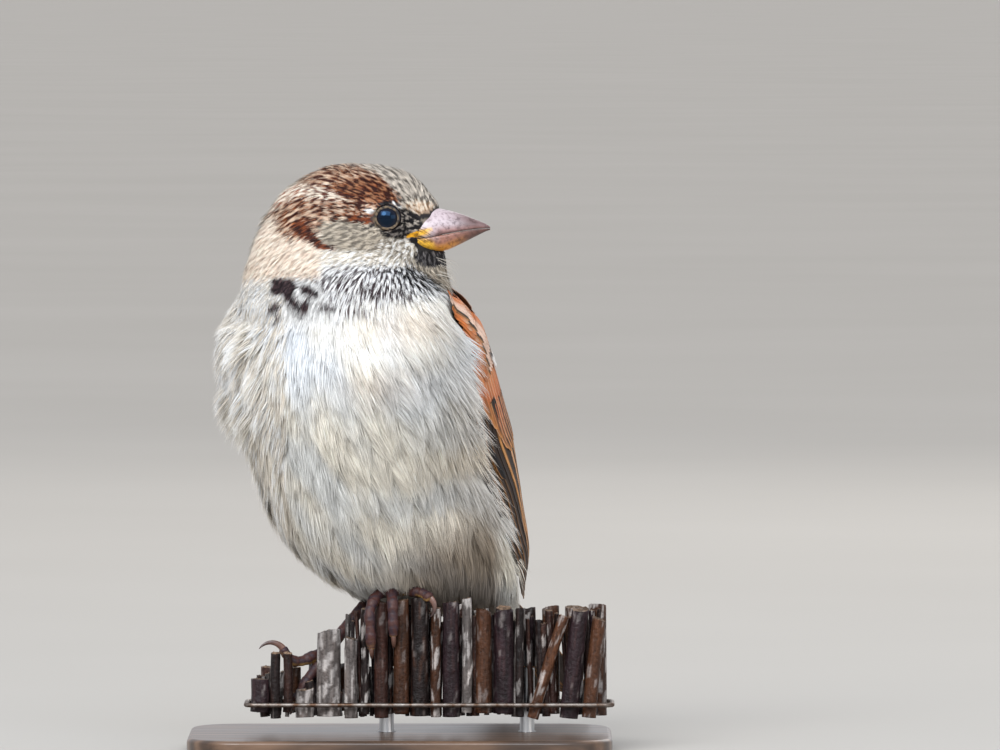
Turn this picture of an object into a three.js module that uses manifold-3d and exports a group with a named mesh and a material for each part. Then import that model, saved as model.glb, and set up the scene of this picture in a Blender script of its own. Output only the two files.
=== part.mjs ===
// A house sparrow, life size, as a still display model: an adult male that sits upright and
// fluffed up, its head turned over its left shoulder, on a short cut length of bound brushwood.
// A flat base and two short rods carry the brushwood.
// Millimetres, +Z up. The origin is the centre of the base's underside.

import * as THREE from "three";
import { mergeVertices } from "three/addons/utils/BufferGeometryUtils.js";
import Module from "manifold-3d";

const wasm = await Module();
wasm.setup();

const { lerp, clamp, degToRad } = THREE.MathUtils;
const vec = (x, y, z) => new THREE.Vector3(x, y, z);

// ---------------------------------------------------------------- driving dimensions

const GAP = 0.3; // clearance between neighbouring pieces

// The trunk's frame: x runs along the spine towards the neck, y to the bird's left, z to its back.
const BODY_YAW = degToRad(31); // the breast's turn from -Y towards -X
const BODY_PITCH = degToRad(50); // the spine's rise above level
const TAIL_BASE = vec(9.7, 16.6, 42.2);

// The head's frame: x runs towards the bill's tip, y to the bird's left, z up, from between the eyes.
const HEAD_YAW = degToRad(-6); // the bill's turn from +X towards -Y
const HEAD_CENTRE = vec(-2.8, -21, 116.6);

// Sections of the fluffed trunk across the spine: half-width, depths of belly and back from the
// spine's line, how far the section leans to the bird's left, and how far it rises with the tail.
const TRUNK = [
  { along: -24, side: 4, belly: 2.6, back: 2.4, sway: 0, rise: 5.4 },
  { along: -19, side: 8, belly: 5, back: 4, sway: 0.3, rise: 4.2 },
  { along: -12, side: 12, belly: 7.5, back: 5, sway: 0.4, rise: 2.4 },
  { along: -3, side: 16.8, belly: 14.4, back: 7.5, sway: -1.2, rise: 0 },
  { along: 6, side: 20.5, belly: 22, back: 11, sway: -3.5, rise: 0 },
  { along: 17, side: 23.2, belly: 27.3, back: 15, sway: -5.3, rise: 0 },
  { along: 30, side: 24.7, belly: 29.4, back: 18.5, sway: -6.2, rise: 0 },
  { along: 44, side: 26, belly: 28, back: 20.5, sway: -4.2, rise: 0 },
  { along: 58, side: 27.9, belly: 25.3, back: 20.5, sway: -3.2, rise: 0 },
  { along: 69, side: 27.4, belly: 21.2, back: 18.5, sway: -1.3, rise: 0 },
  { along: 78, side: 18.8, belly: 13.6, back: 14, sway: 0, rise: 0 },
  { along: 84, side: 11, belly: 7.2, back: 8, sway: 0, rise: 0 },
  { along: 86, side: 4, belly: 2.7, back: 3, sway: 0, rise: 0 },
];

// Level sections of head and neck by height: their reach to front and back, half-width, how far
// they shift to the bird's left, and how fast they narrow towards the bill.
const HEAD = [
  { up: -36, front: 4, back: -22, half: 15, shift: 8, taper: 1 },
  { up: -28, front: 10, back: -30, half: 19, shift: 5, taper: 1 },
  { up: -21, front: 14.2, back: -33, half: 19, shift: 2.5, taper: 1.1 },
  { up: -15, front: 14.2, back: -31.5, half: 16.8, shift: 1, taper: 1.3 },
  { up: -10, front: 13.5, back: -30.2, half: 14.4, shift: 0.2, taper: 1.7 },
  { up: -5.5, front: 12.7, back: -29, half: 12.8, shift: 0, taper: 2.1 },
  { up: -1, front: 12.5, back: -26.8, half: 11.6, shift: 0, taper: 1.6 },
  { up: 3.2, front: 11.3, back: -24.6, half: 10.8, shift: 0, taper: 1.35 },
  { up: 6.6, front: 8.9, back: -21.6, half: 9.6, shift: 0, taper: 1.2 },
  { up: 9.2, front: 5.6, back: -17.4, half: 7.6, shift: 0, taper: 1.1 },
  { up: 10.8, front: 1.5, back: -12.8, half: 5, shift: 0, taper: 1 },
  { up: 11.5, front: -3, back: -8.5, half: 2, shift: 0, taper: 1 },
];
const HEAD_WIDEST = -10; // where a level section of the head is widest

// The cuts between trunk and neck, and neck and head: a point on each, and its normal.
const NECK_CUT = { at: vec(-12, -20, 98.5), normal: vec(0.1, 0.28, 1) };
const HEAD_CUT = { at: vec(-12, -21, 107.2), normal: vec(-0.1, 0.12, 1) };

const EYE_RADIUS = 3.3;
const EYE_DEPTH = 7.15; // eye's centre from the head's midline
const EYE_AHEAD = 0.9; // and ahead of the head's origin

// The bill by its distance ahead of the eye: culmen, mouth line, gonys and half-width.
const BILL = [
  { ahead: 4.6, culmen: -2.4, mouth: -4.7, gonys: -6.4, half: 5 },
  { ahead: 7, culmen: 0.2, mouth: -4.5, gonys: -7.1, half: 4.9 },
  { ahead: 10, culmen: 1.9, mouth: -4.15, gonys: -7.4, half: 4.4 },
  { ahead: 13, culmen: 1.6, mouth: -3.6, gonys: -7.1, half: 3.6 },
  { ahead: 16, culmen: 0.8, mouth: -3.05, gonys: -5.8, half: 2.7 },
  { ahead: 19, culmen: -0.3, mouth: -2.6, gonys: -4.3, half: 1.65 },
  { ahead: 21.4, culmen: -1.3, mouth: -2.4, gonys: -3.1, half: 0.8 },
  { ahead: 22.5, culmen: -2, mouth: -2.35, gonys: -2.7, half: 0.3 },
];

// Sections that the folded wings lie on, across the spine.
const WING_BED = [
  { along: -28, side: 9, back: 12, sway: -1 },
  { along: -16, side: 12.8, back: 13, sway: -1 },
  { along: -4, side: 18, back: 13.6, sway: -1.5 },
  { along: 6, side: 21.5, back: 14.8, sway: -3.5 },
  { along: 17, side: 24.4, back: 17, sway: -5.1 },
  { along: 30, side: 26.1, back: 19.9, sway: -5.8 },
  { along: 44, side: 27.2, back: 21.9, sway: -4.2 },
  { along: 58, side: 29.1, back: 21.9, sway: -3.2 },
  { along: 70, side: 28.2, back: 19.8, sway: -1.3 },
];
// A folded wing from its shoulder to the tips of its primaries: the turns from the flank of its
// leading and trailing edges, in degrees, and its thickness at the edges and between them.
const WING = [
  { along: 66, near: 16, far: 38, rim: 0.5, full: 0.8 },
  { along: 63, near: 2, far: 54, rim: 0.8, full: 2.1 },
  { along: 56, near: -6, far: 64, rim: 1.1, full: 3.6 },
  { along: 46, near: -5, far: 68, rim: 1.5, full: 4 },
  { along: 36, near: -4, far: 74, rim: 1.8, full: 4.1 },
  { along: 26, near: -3, far: 79, rim: 1.8, full: 4.2 },
  { along: 17, near: -2, far: 82, rim: 1.7, full: 3.3 },
  { along: 8, near: -2, far: 77, rim: 1.5, full: 2.5 },
  { along: 0, near: -2, far: 68, rim: 1.2, full: 2 },
  { along: -8, near: 1, far: 56, rim: 0.9, full: 1.4 },
  { along: -14, near: 9, far: 47, rim: 0.7, full: 0.9 },
  { along: -19, near: 24, far: 40, rim: 0.5, full: 0.5 },
];
const RIGHT_TUCK = 14; // the right wing's leading edge lies this much further under the flank
const WING_RINGS = 24;
const WING_ACROSS = 11;
const FEATHER_EDGE = { beyond: 48, step: 0.3, jut: 2.5 }; // the feathers' steps and their tips' jut
const FEATHER_THICK = 0.75;

const TAIL_RAISE = degToRad(12); // the tail's lift out of the spine's line
const TAIL_LENGTH = 56;
const TAIL_PAIRS = 6;
const TAIL_FAN = degToRad(1.2); // turn of each feather from the next one inwards
const TAIL_FEATHER = 7.6; // width of a tail feather
const TAIL_STEP = 0.42; // drop of each feather below the next one inwards

// Legs: from the ankle inside the belly feathers to the foot, then each toe's line.
const TARSUS_RADIUS = 1.25;
const TOE_RADIUS = 1.3;
const LEGS = {
  left: {
    ankle: vec(8.7, 15.5, 38.2),
    foot: vec(0.2, -1.4, 34.9),
    toes: {
      inner: [vec(-4.2, -4.6, 34.6), vec(-6.4, -7.7, 31.4), vec(-6.4, -8.4, 26.8), vec(-6.2, -8.1, 22.4)],
      middle: [vec(-1.7, -5.2, 34.8), vec(-1.6, -7.9, 32.7), vec(-1.5, -8.5, 28.8), vec(-1.4, -8.2, 25.2)],
      outer: [vec(2.2, -3.6, 35), vec(4.6, -5.4, 34.7), vec(6.8, -6.4, 33.4)],
      hind: [vec(0.2, 2, 34.4), vec(0.2, 5.4, 34.1), vec(0.2, 7.8, 33.3)],
    },
  },
  right: {
    ankle: vec(-5, 9.8, 34.8),
    foot: vec(-16.2, 1.6, 21.4),
    toes: {
      inner: [vec(-17.8, 0.6, 18.6), vec(-20.6, -0.8, 14.8), vec(-22.8, -2, 10.4)],
      middle: [vec(-18.6, 0.2, 20.7), vec(-21.4, -1.2, 19.6), vec(-23.9, -2.2, 20), vec(-25.6, -2.8, 22.6)],
      outer: [vec(-15, 1.8, 18.4), vec(-14.4, 1.8, 14.6), vec(-14, 1.8, 11.4)],
      hind: [vec(-15.8, 4.6, 21), vec(-15, 7.4, 20.4), vec(-14.6, 9, 18.4)],
    },
  },
};
const CLAW_LENGTH = { inner: 5, middle: 6.4, outer: 5, hind: 6.4 };
const CLAW_RADIUS = 0.75;
const CLAW_BEND = degToRad(115); // turn of a claw from its root to its tip

// Perch: two rows of cut stems, bound low down with one wire. The front row, left to right: place,
// radius and height of the top, and for a leaning stem its foot's place.
const FRONT_STEMS = [
  [-30.4, 2.1, 15.9],
  [-27, 1.1, 21.6],
  [-24.4, 1, 21.6],
  [-20.7, 1.9, 13.6],
  [-15.4, 2.6, 26.1],
  [-10.6, 1.4, 24.8],
  [-7.6, 0.9, 22.7],
  [-4, 1.5, 32.7],
  [0.2, 1.7, 33],
  [4.3, 2, 33],
  [7.8, 1.1, 31.4],
  [11.1, 1.8, 32.4],
  [14.5, 1.1, 33.4],
  [18.1, 1.7, 30.7],
  [22.5, 2.2, 30.5],
  [26, 0.9, 31.2],
  [35.6, 1.2, 29.6, 28.8],
  [39.2, 1.9, 31, 36.6],
  [43.2, 1.5, 29, 41],
];
const STEM_FRONT = -6.6; // the front row's foremost line
const BACK_STEMS = { first: -28.5, pitch: 5.1, count: 15, line: 2.4, radius: [1.7, 2.1] };
const STEM_FOOT = 7.4; // height of the stems' lower ends
const STEM_LOW = { beyond: -8, top: 19.2 }; // the stems under the right foot end lower
const STEM_HIGH = 31.6;
const WIRE_RADIUS = 0.5;
const WIRE_HEIGHT = 10.4;

// Stand
const BASE = { length: 92, width: 58, thick: 4, corner: 12, bevel: 0.8 };
const ROD_RADIUS = 1.6;
const ROD_STEMS = [5, 11]; // the back-row stems that the rods carry
const ROD_TOP = 18;

// ---------------------------------------------------------------- shaping helpers

const steps = (count, make) => Array.from({ length: count + 1 }, (_, i) => make(i / count));

// The keys of a station list, blended smoothly at a share u of the way along the list.
function blend(stations, u) {
  const last = stations.length - 1;
  const place = clamp(u, 0, 1) * last;
  const i = Math.min(Math.floor(place), last - 1);
  const f = place - i;
  const at = (k) => stations[clamp(k, 0, last)];
  const mixed = {};
  for (const key of Object.keys(stations[0])) {
    const [a, b, c, d] = [at(i - 1)[key], at(i)[key], at(i + 1)[key], at(i + 2)[key]];
    mixed[key] = b + 0.5 * f * (c - a + f * (2 * a - 5 * b + 4 * c - d + f * (3 * (b - c) + d - a)));
  }
  return mixed;
}

// The same, where the given key has the given value.
function blendAt(stations, key, value) {
  let [low, high] = [0, 1];
  for (let n = 0; n < 24; n++) {
    const middle = (low + high) / 2;
    if (blend(stations, middle)[key] < value) low = middle;
    else high = middle;
  }
  return blend(stations, low);
}

// A closed skin over rings of equally many points, each end closed by a fan to its middle.
function loft(rings) {
  const sides = rings[0].length;
  const points = rings.flat();
  const index = [];
  for (let r = 0; r + 1 < rings.length; r++)
    for (let s = 0; s < sides; s++) {
      const [a, b] = [r * sides + s, r * sides + ((s + 1) % sides)];
      index.push(a, b, b + sides, a, b + sides, a + sides);
    }
  const close = (ring, first, flip) => {
    const middle = points.length;
    points.push(ring.reduce((sum, p) => sum.add(p), vec(0, 0, 0)).divideScalar(sides));
    for (let s = 0; s < sides; s++) {
      const [a, b] = [first + s, first + ((s + 1) % sides)];
      index.push(middle, flip ? b : a, flip ? a : b);
    }
  };
  close(rings[0], 0, true);
  close(rings.at(-1), (rings.length - 1) * sides, false);
  return new THREE.BufferGeometry().setFromPoints(points).setIndex(index);
}

// A round tube along a curve, its radius a function of the share along it, longer at both ends.
function tube(curve, radiusAt, sides, count, longer = 0) {
  const frames = curve.computeFrenetFrames(count, false);
  return loft(
    steps(count, (u) => {
      const i = Math.round(u * count);
      const beyond = i === 0 ? -longer : i === count ? longer : 0;
      const centre = curve.getPointAt(u).addScaledVector(frames.tangents[i], beyond);
      return Array.from({ length: sides }, (_, k) => {
        const turn = (k / sides) * 2 * Math.PI;
        return centre
          .clone()
          .addScaledVector(frames.normals[i], radiusAt(u) * Math.cos(turn))
          .addScaledVector(frames.binormals[i], radiusAt(u) * Math.sin(turn));
      });
    }),
  );
}

// A closed geometry as a solid, its faces turned outwards.
function solid(geometry) {
  const bare = geometry.clone().deleteAttribute("normal").deleteAttribute("uv");
  const merged = mergeVertices(bare, 1e-4);
  const make = (triVerts) => {
    const vertProperties = merged.attributes.position.array;
    return new wasm.Manifold(new wasm.Mesh({ numProp: 3, vertProperties, triVerts }));
  };
  const faces = new Uint32Array(merged.index.array);
  const made = make(faces);
  return made.volume() > 0 ? made : make(faces.map((_, i) => faces[i - (i % 3) + 2 - (i % 3)]));
}

const join = (solids) => solids.reduce((sum, next) => sum.add(next));

function geometryOf(manifold) {
  const { numProp, vertProperties, triVerts } = manifold.getMesh();
  const geometry = new THREE.BufferGeometry();
  geometry.setAttribute("position", new THREE.BufferAttribute(vertProperties, numProp));
  geometry.setIndex(new THREE.BufferAttribute(triVerts, 1));
  geometry.computeVertexNormals();
  return geometry;
}

// The two parts of a solid on either side of a thin slot along a plane.
function part(whole, { at, normal }) {
  const unit = normal.clone().normalize();
  const offset = at.dot(unit);
  const above = whole.trimByPlane(unit.toArray(), offset + GAP / 2);
  const below = whole.trimByPlane(unit.clone().negate().toArray(), -offset + GAP / 2);
  return { above, below };
}

// A repeatable number from 0 to 1 for each whole number.
const vary = (n) => Math.abs(Math.sin(n * 12.9898 + 4.1414) * 43758.5453) % 1;

// ---------------------------------------------------------------- frames

const bodyFrame = new THREE.Matrix4()
  .makeRotationZ(-BODY_YAW - Math.PI / 2)
  .multiply(new THREE.Matrix4().makeRotationY(-BODY_PITCH))
  .setPosition(TAIL_BASE);
const headFrame = new THREE.Matrix4().makeRotationZ(HEAD_YAW).setPosition(HEAD_CENTRE);
const tailFrame = bodyFrame.clone().multiply(new THREE.Matrix4().makeRotationY(TAIL_RAISE));

// ---------------------------------------------------------------- head, neck and trunk

const SKIN_SIDES = 22;

function trunkRing(u) {
  const s = blend(TRUNK, u);
  return Array.from({ length: SKIN_SIDES }, (_, k) => {
    const turn = (k / SKIN_SIDES) * 2 * Math.PI;
    const [c, d] = [Math.cos(turn), Math.sin(turn)];
    const deep = d > 0 ? s.back : s.belly;
    const lean = s.sway * (1 - 0.5 * Math.max(d, 0));
    return vec(s.along, s.side * c + lean, s.rise + deep * d).applyMatrix4(bodyFrame);
  });
}

function headRing(u) {
  const s = blend(HEAD, u);
  return Array.from({ length: SKIN_SIDES }, (_, k) => {
    const turn = (k / SKIN_SIDES) * 2 * Math.PI;
    const [c, d] = [Math.cos(turn), Math.sin(turn)];
    const reach = c > 0 ? s.front - HEAD_WIDEST : HEAD_WIDEST - s.back;
    const across = s.shift + s.half * Math.sign(d) * Math.abs(d) ** (c > 0 ? s.taper : 1);
    return vec(HEAD_WIDEST + reach * c, across, s.up).applyMatrix4(headFrame);
  });
}

const sphere = (radius, at) => solid(new THREE.SphereGeometry(radius, 12, 8).translate(...at));

// One mandible: its rings run from the mouth line over the culmen, or under the gonys.
function mandible(edge, grow = 0) {
  const sides = 9;
  const rings = steps(8, (u) => {
    const s = blend(BILL, u);
    const lip = s.mouth + (edge === "culmen" ? 1 : -1) * (GAP / 2 - grow);
    return Array.from({ length: sides }, (_, k) => {
      const turn = (k / (sides - 1)) * Math.PI;
      const high = Math.sin(turn) ** 0.85 * (s[edge] - lip + (edge === "culmen" ? grow : -grow));
      const ahead = s.ahead + grow * (2 * u - 1);
      return vec(ahead, Math.cos(turn) * (s.half + grow), lip + high).applyMatrix4(headFrame);
    });
  });
  return solid(loft(rings));
}

// ---------------------------------------------------------------- feathers

// A feather's blade: share of the length, share of the width.
const BLADE_SHAPE = [
  [0, 0.6],
  [0.3, 1],
  [0.86, 0.86],
  [1, 0.2],
];

// A thin plate. place(along, across, out) puts a point of it in the world.
function blade(place, width) {
  const section = ([along, wide]) => {
    const reach = (wide * width) / 2;
    const corners = [[-reach, FEATHER_THICK], [reach, FEATHER_THICK], [reach, 0], [-reach, 0]];
    return corners.map(([across, out]) => place(along, across, out));
  };
  return solid(loft(BLADE_SHAPE.map(section)));
}

// A point over the wings' bed. side is 1 on the left and -1 on the right.
function onBed(side, along, turnDegrees, out) {
  const s = blendAt(WING_BED, "along", along);
  const turn = degToRad(turnDegrees);
  const slope = vec(0, Math.cos(turn) / s.side, Math.sin(turn) / s.back).normalize();
  const point = vec(along, s.side * Math.cos(turn), s.back * Math.sin(turn));
  point.addScaledVector(slope, out);
  point.y = side * point.y + s.sway * (1 - 0.5 * Math.max(Math.sin(turn), 0));
  return point.applyMatrix4(bodyFrame);
}

// A folded wing: low steps across it mark its feathers, and their tips jut along its rear edge.
function wing(side, grow = 0) {
  const rings = steps(WING_RINGS, (u) => {
    const s = blend(WING, u);
    const inFeathers = s.along < FEATHER_EDGE.beyond ? 1 : 0;
    const jut = inFeathers * FEATHER_EDGE.jut * (Math.round(u * WING_RINGS) % 2 ? 0.5 : -0.5);
    const spread = grow * 3;
    const near = s.near + (side < 0 ? RIGHT_TUCK * Math.min((s.far - s.near) / 40, 1) : 0);
    const turn = (k) => lerp(near - spread, s.far + jut + spread, k / WING_ACROSS);
    const along = s.along + grow * (1 - 2 * u);
    const top = Array.from({ length: WING_ACROSS + 1 }, (_, k) => {
      const swell = (s.full - s.rim) * Math.sin((Math.PI * k) / WING_ACROSS) ** 0.6;
      const step = inFeathers * FEATHER_EDGE.step * (k % 2);
      return onBed(side, along, turn(k), s.rim + swell + step + grow);
    });
    const under = [1, 0.66, 0.33, 0].map((k) => onBed(side, along, turn(k * WING_ACROSS), -grow));
    return [...top, ...under];
  });
  return solid(loft(rings));
}

function tail() {
  const feathers = [];
  for (const side of [1, -1])
    for (let pair = 0; pair < TAIL_PAIRS; pair++) {
      const turn = side * pair * TAIL_FAN;
      const reach = TAIL_LENGTH - 0.25 * (TAIL_PAIRS - pair);
      feathers.push(
        blade((s, across, out) => {
          const forward = -8 - s * (reach - 8);
          const point = vec(forward, side * (1.4 + 0.7 * pair) + across, 1.5 - pair * TAIL_STEP + out);
          return point.applyAxisAngle(vec(0, 0, 1), -turn).applyMatrix4(tailFrame);
        }, TAIL_FEATHER),
      );
    }
  return join(feathers);
}

// Room for the tail's feathers in the end of the trunk: a flat wedge that opens backwards.
function tailRoom() {
  const [top, under] = [1.5 + FEATHER_THICK + GAP, 1.5 - (TAIL_PAIRS - 1) * TAIL_STEP - GAP];
  const room = [-6.9, -TAIL_LENGTH].map((x) => {
    const half = 7.2 - 0.19 * x;
    const corners = [vec(x, -half, under), vec(x, half, under), vec(x, half, top), vec(x, -half, top)];
    return corners.map((p) => p.applyMatrix4(tailFrame));
  });
  return solid(loft(room));
}

// ---------------------------------------------------------------- legs

function toeCurve(leg, toe) {
  return new THREE.CatmullRomCurve3([leg.foot, ...leg.toes[toe]], false, "centripetal");
}

// A leg with its toes; grow thickens it, for cutting its room out of its neighbours.
function legSolid(leg, grow = 0) {
  const shank = new THREE.LineCurve3(leg.ankle, leg.foot);
  const knuckle = (u) => TARSUS_RADIUS + 0.35 * Math.abs(2 * u - 1) ** 3 + grow;
  const pads = (u) => TOE_RADIUS * (1 - 0.14 * u) + 0.1 * Math.cos(6 * Math.PI * u) + grow;
  const toes = Object.keys(leg.toes).map((toe) => solid(tube(toeCurve(leg, toe), pads, 6, 6, grow)));
  return join([
    solid(tube(shank, knuckle, 8, 3, grow)),
    solid(new THREE.SphereGeometry(1.5 + grow, 8, 6).translate(...leg.foot)),
    ...toes,
  ]);
}

// The direction a claw bends towards: the hooked one over its stem, those on top of the stems
// down, and the others in against the stems' front.
function clawBend(leg, toe, ahead) {
  if (leg === LEGS.right && toe === "middle") return vec(-0.35, 0, -1);
  if (toe === "hind") return vec(0, -0.5, -1);
  return Math.abs(ahead.z) < 0.75 ? vec(0, 0, -1) : vec(0, 1, 0);
}

// A claw goes on from the end of its toe in an arc.
function clawSolid(leg, toe, grow = 0) {
  const curve = toeCurve(leg, toe);
  const [end, ahead] = [curve.getPoint(1), curve.getTangent(1)];
  const sideways = vec(0, 0, 0).crossVectors(ahead, clawBend(leg, toe, ahead)).normalize();
  const inward = ahead.clone().applyAxisAngle(sideways, Math.PI / 2);
  const radius = CLAW_LENGTH[toe] / CLAW_BEND;
  const points = steps(6, (u) => {
    const turn = u * CLAW_BEND;
    return end
      .clone()
      .addScaledVector(ahead, 1.8 * GAP + radius * Math.sin(turn))
      .addScaledVector(inward, radius * (1 - Math.cos(turn)));
  });
  const thick = (u) => (CLAW_RADIUS - 0.15) * (1 - u) ** 0.8 + 0.15 + grow;
  return solid(tube(new THREE.CatmullRomCurve3(points), thick, 5, 5, grow));
}

// ---------------------------------------------------------------- perch and stand

// A cut stem from its foot to its top, slightly crooked.
function stem(seed, foot, top, radius) {
  const bow = vec(0.3 * (vary(seed) - 0.5), 0.3 * (vary(seed + 9) - 0.5), 0);
  const line = new THREE.CatmullRomCurve3([foot, foot.clone().lerp(top, 0.5).add(bow), top]);
  return solid(tube(line, (u) => radius * (1.06 - 0.08 * u), 7, 2));
}

function stems() {
  const made = FRONT_STEMS.map(([x, radius, height, footX = x], n) => {
    const y = STEM_FRONT + radius;
    return stem(n, vec(footX, y, STEM_FOOT + 1.4 * vary(n)), vec(x, y, height), radius);
  });
  const { first, pitch, count, line, radius } = BACK_STEMS;
  for (let n = 0; n < count; n++) {
    const x = first + n * pitch;
    const height = (x < STEM_LOW.beyond ? STEM_LOW.top : STEM_HIGH) - 1.2 * vary(n + 30);
    const foot = ROD_STEMS.includes(n) ? ROD_TOP + GAP : STEM_FOOT + 1.4 * vary(n + 60);
    made.push(stem(n + 90, vec(x, line, foot), vec(x, line, height), lerp(...radius, vary(n + 50))));
  }
  return made;
}

// The wire's path round the bundle: a rectangle with rounded corners.
function wirePath() {
  const margin = WIRE_RADIUS + GAP;
  const left = FRONT_STEMS[0][0] - FRONT_STEMS[0][1] * 1.06 - margin;
  const right = BACK_STEMS.first + (BACK_STEMS.count - 1) * BACK_STEMS.pitch + 2.4 + margin;
  const front = STEM_FRONT - 0.45 - margin;
  const back = BACK_STEMS.line + 2.3 + margin;
  const corner = 2;
  const corners = [
    [right - corner, front + corner, -90],
    [right - corner, back - corner, 0],
    [left + corner, back - corner, 90],
    [left + corner, front + corner, 180],
  ];
  return corners.flatMap(([x, y, turn]) =>
    [0, 30, 60, 90].map((extra) => {
      const angle = degToRad(turn + extra);
      return vec(x + corner * Math.cos(angle), y + corner * Math.sin(angle), WIRE_HEIGHT);
    }),
  );
}

// The wire, closed on itself.
function wire() {
  const points = wirePath();
  const sides = 6;
  const index = [];
  const places = points.flatMap((p, i) => {
    const next = points[(i + 1) % points.length];
    const before = points[(i + points.length - 1) % points.length];
    const outward = next.clone().sub(before).cross(vec(0, 0, 1)).normalize();
    return Array.from({ length: sides }, (_, k) => {
      const turn = (k / sides) * 2 * Math.PI;
      return p
        .clone()
        .addScaledVector(outward, WIRE_RADIUS * Math.cos(turn))
        .add(vec(0, 0, WIRE_RADIUS * Math.sin(turn)));
    });
  });
  for (let i = 0; i < points.length; i++)
    for (let k = 0; k < sides; k++) {
      const j = (i + 1) % points.length;
      const [a, b] = [i * sides + k, i * sides + ((k + 1) % sides)];
      const [c, d] = [j * sides + k, j * sides + ((k + 1) % sides)];
      index.push(a, b, d, a, d, c);
    }
  return solid(new THREE.BufferGeometry().setFromPoints(places).setIndex(index));
}

function baseGeometry() {
  const { length, width, thick, corner, bevel } = BASE;
  const [x, y] = [length / 2 - bevel, width / 2 - bevel];
  const r = corner - bevel;
  const outline = new THREE.Shape();
  outline.moveTo(-x + r, -y);
  outline.lineTo(x - r, -y).absarc(x - r, -y + r, r, -Math.PI / 2, 0);
  outline.lineTo(x, y - r).absarc(x - r, y - r, r, 0, Math.PI / 2);
  outline.lineTo(-x + r, y).absarc(-x + r, y - r, r, Math.PI / 2, Math.PI);
  outline.lineTo(-x, -y + r).absarc(-x + r, -y + r, r, Math.PI, 1.5 * Math.PI);
  return new THREE.ExtrudeGeometry(outline, {
    depth: thick - 2 * bevel,
    bevelThickness: bevel,
    bevelSize: bevel,
    bevelSegments: 1,
    curveSegments: 4,
  }).translate(0, 0, bevel);
}

// ---------------------------------------------------------------- assembly

const COLOURS = {
  plumage: 0xd8d2c8,
  crown: 0xa98f78,
  wing: 0x8a5a38,
  tail: 0x5a4a3e,
  bill: 0xb9948a,
  eye: 0x0c0a0a,
  leg: 0x7a4f45,
  claw: 0x3a2a26,
  bark: 0x5b4338,
  metal: 0x8c8f93,
  base: 0x3b2c24,
};

const bird = new THREE.Group();

function add(name, manifold, colour, metalness = 0, roughness = 0.7) {
  const material = new THREE.MeshStandardMaterial({ color: colour, metalness, roughness });
  const mesh = new THREE.Mesh(geometryOf(manifold), material);
  mesh.name = name;
  bird.add(mesh);
}

const legs = Object.entries(LEGS);
const eyes = { left: EYE_DEPTH, right: -EYE_DEPTH };
const eyeAt = (side) => vec(EYE_AHEAD, eyes[side], 0).applyMatrix4(headFrame);
const tailSolid = tail();
const claws = legs.flatMap(([side, leg]) => Object.keys(leg.toes).map((toe) => [side, leg, toe]));
const legRoom = join(legs.map(([, leg]) => legSolid(leg, GAP)));
const clawRoom = join(claws.map(([, leg, toe]) => clawSolid(leg, toe, GAP)));

const body = join([solid(loft(steps(19, trunkRing))), solid(loft(steps(18, headRing)))]);
const whole = body.subtract(wing(1, GAP)).subtract(wing(-1, GAP));
const fromTrunk = part(whole, NECK_CUT);
const fromNeck = part(fromTrunk.above, HEAD_CUT);

const billRoom = join([mandible("culmen", 1.5 * GAP), mandible("gonys", 1.5 * GAP)]);
const sockets = ["left", "right"].map((side) => sphere(EYE_RADIUS + GAP, eyeAt(side)));
add("head", fromNeck.above.subtract(join([billRoom, ...sockets])), COLOURS.crown);
add("neck", fromNeck.below.subtract(billRoom), COLOURS.plumage);
add("trunk", fromTrunk.below.subtract(join([legRoom, clawRoom, tailRoom()])), COLOURS.plumage);
add("tail", tailSolid, COLOURS.tail);
add("bill_upper", mandible("culmen"), COLOURS.bill, 0, 0.45);
add("bill_lower", mandible("gonys"), COLOURS.bill, 0, 0.45);
for (const side of ["left", "right"]) {
  add("wing_" + side, wing(side === "left" ? 1 : -1), COLOURS.wing);
  add("eye_" + side, sphere(EYE_RADIUS, eyeAt(side)), COLOURS.eye, 0, 0.08);
  add("leg_" + side, legSolid(LEGS[side]), COLOURS.leg);
}
for (const [side, leg, toe] of claws)
  add(`claw_${side}_${toe}`, clawSolid(leg, toe), COLOURS.claw, 0, 0.4);

stems().forEach((made, n) => {
  const clear = made.subtract(legRoom).subtract(clawRoom);
  add("perch_stem_" + String(n + 1).padStart(2, "0"), clear, COLOURS.bark);
});
add("perch_wire", wire(), COLOURS.metal, 0.8, 0.4);

add("stand_base", solid(baseGeometry()), COLOURS.base, 0, 0.5);
ROD_STEMS.forEach((n, i) => {
  const rod = new THREE.CylinderGeometry(ROD_RADIUS, ROD_RADIUS, ROD_TOP - BASE.thick - GAP, 14);
  rod.rotateX(Math.PI / 2);
  const x = BACK_STEMS.first + n * BACK_STEMS.pitch;
  rod.translate(x, BACK_STEMS.line, (ROD_TOP + BASE.thick + GAP) / 2);
  add("stand_rod_" + (i + 1), solid(rod), COLOURS.metal, 0.9, 0.3);
});

export default bird;
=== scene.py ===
"""A house sparrow, life size, as a still display model: an adult male that sits upright and fluffed
up, its head turned over its left shoulder, on a short length of bound brushwood over a flat base.

Shapes are worked out in millimetres, +Z up, and the meshes are in metres."""

import math

import bpy
import numpy as np
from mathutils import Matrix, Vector
from mathutils.bvhtree import BVHTree
from mathutils.kdtree import KDTree


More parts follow.
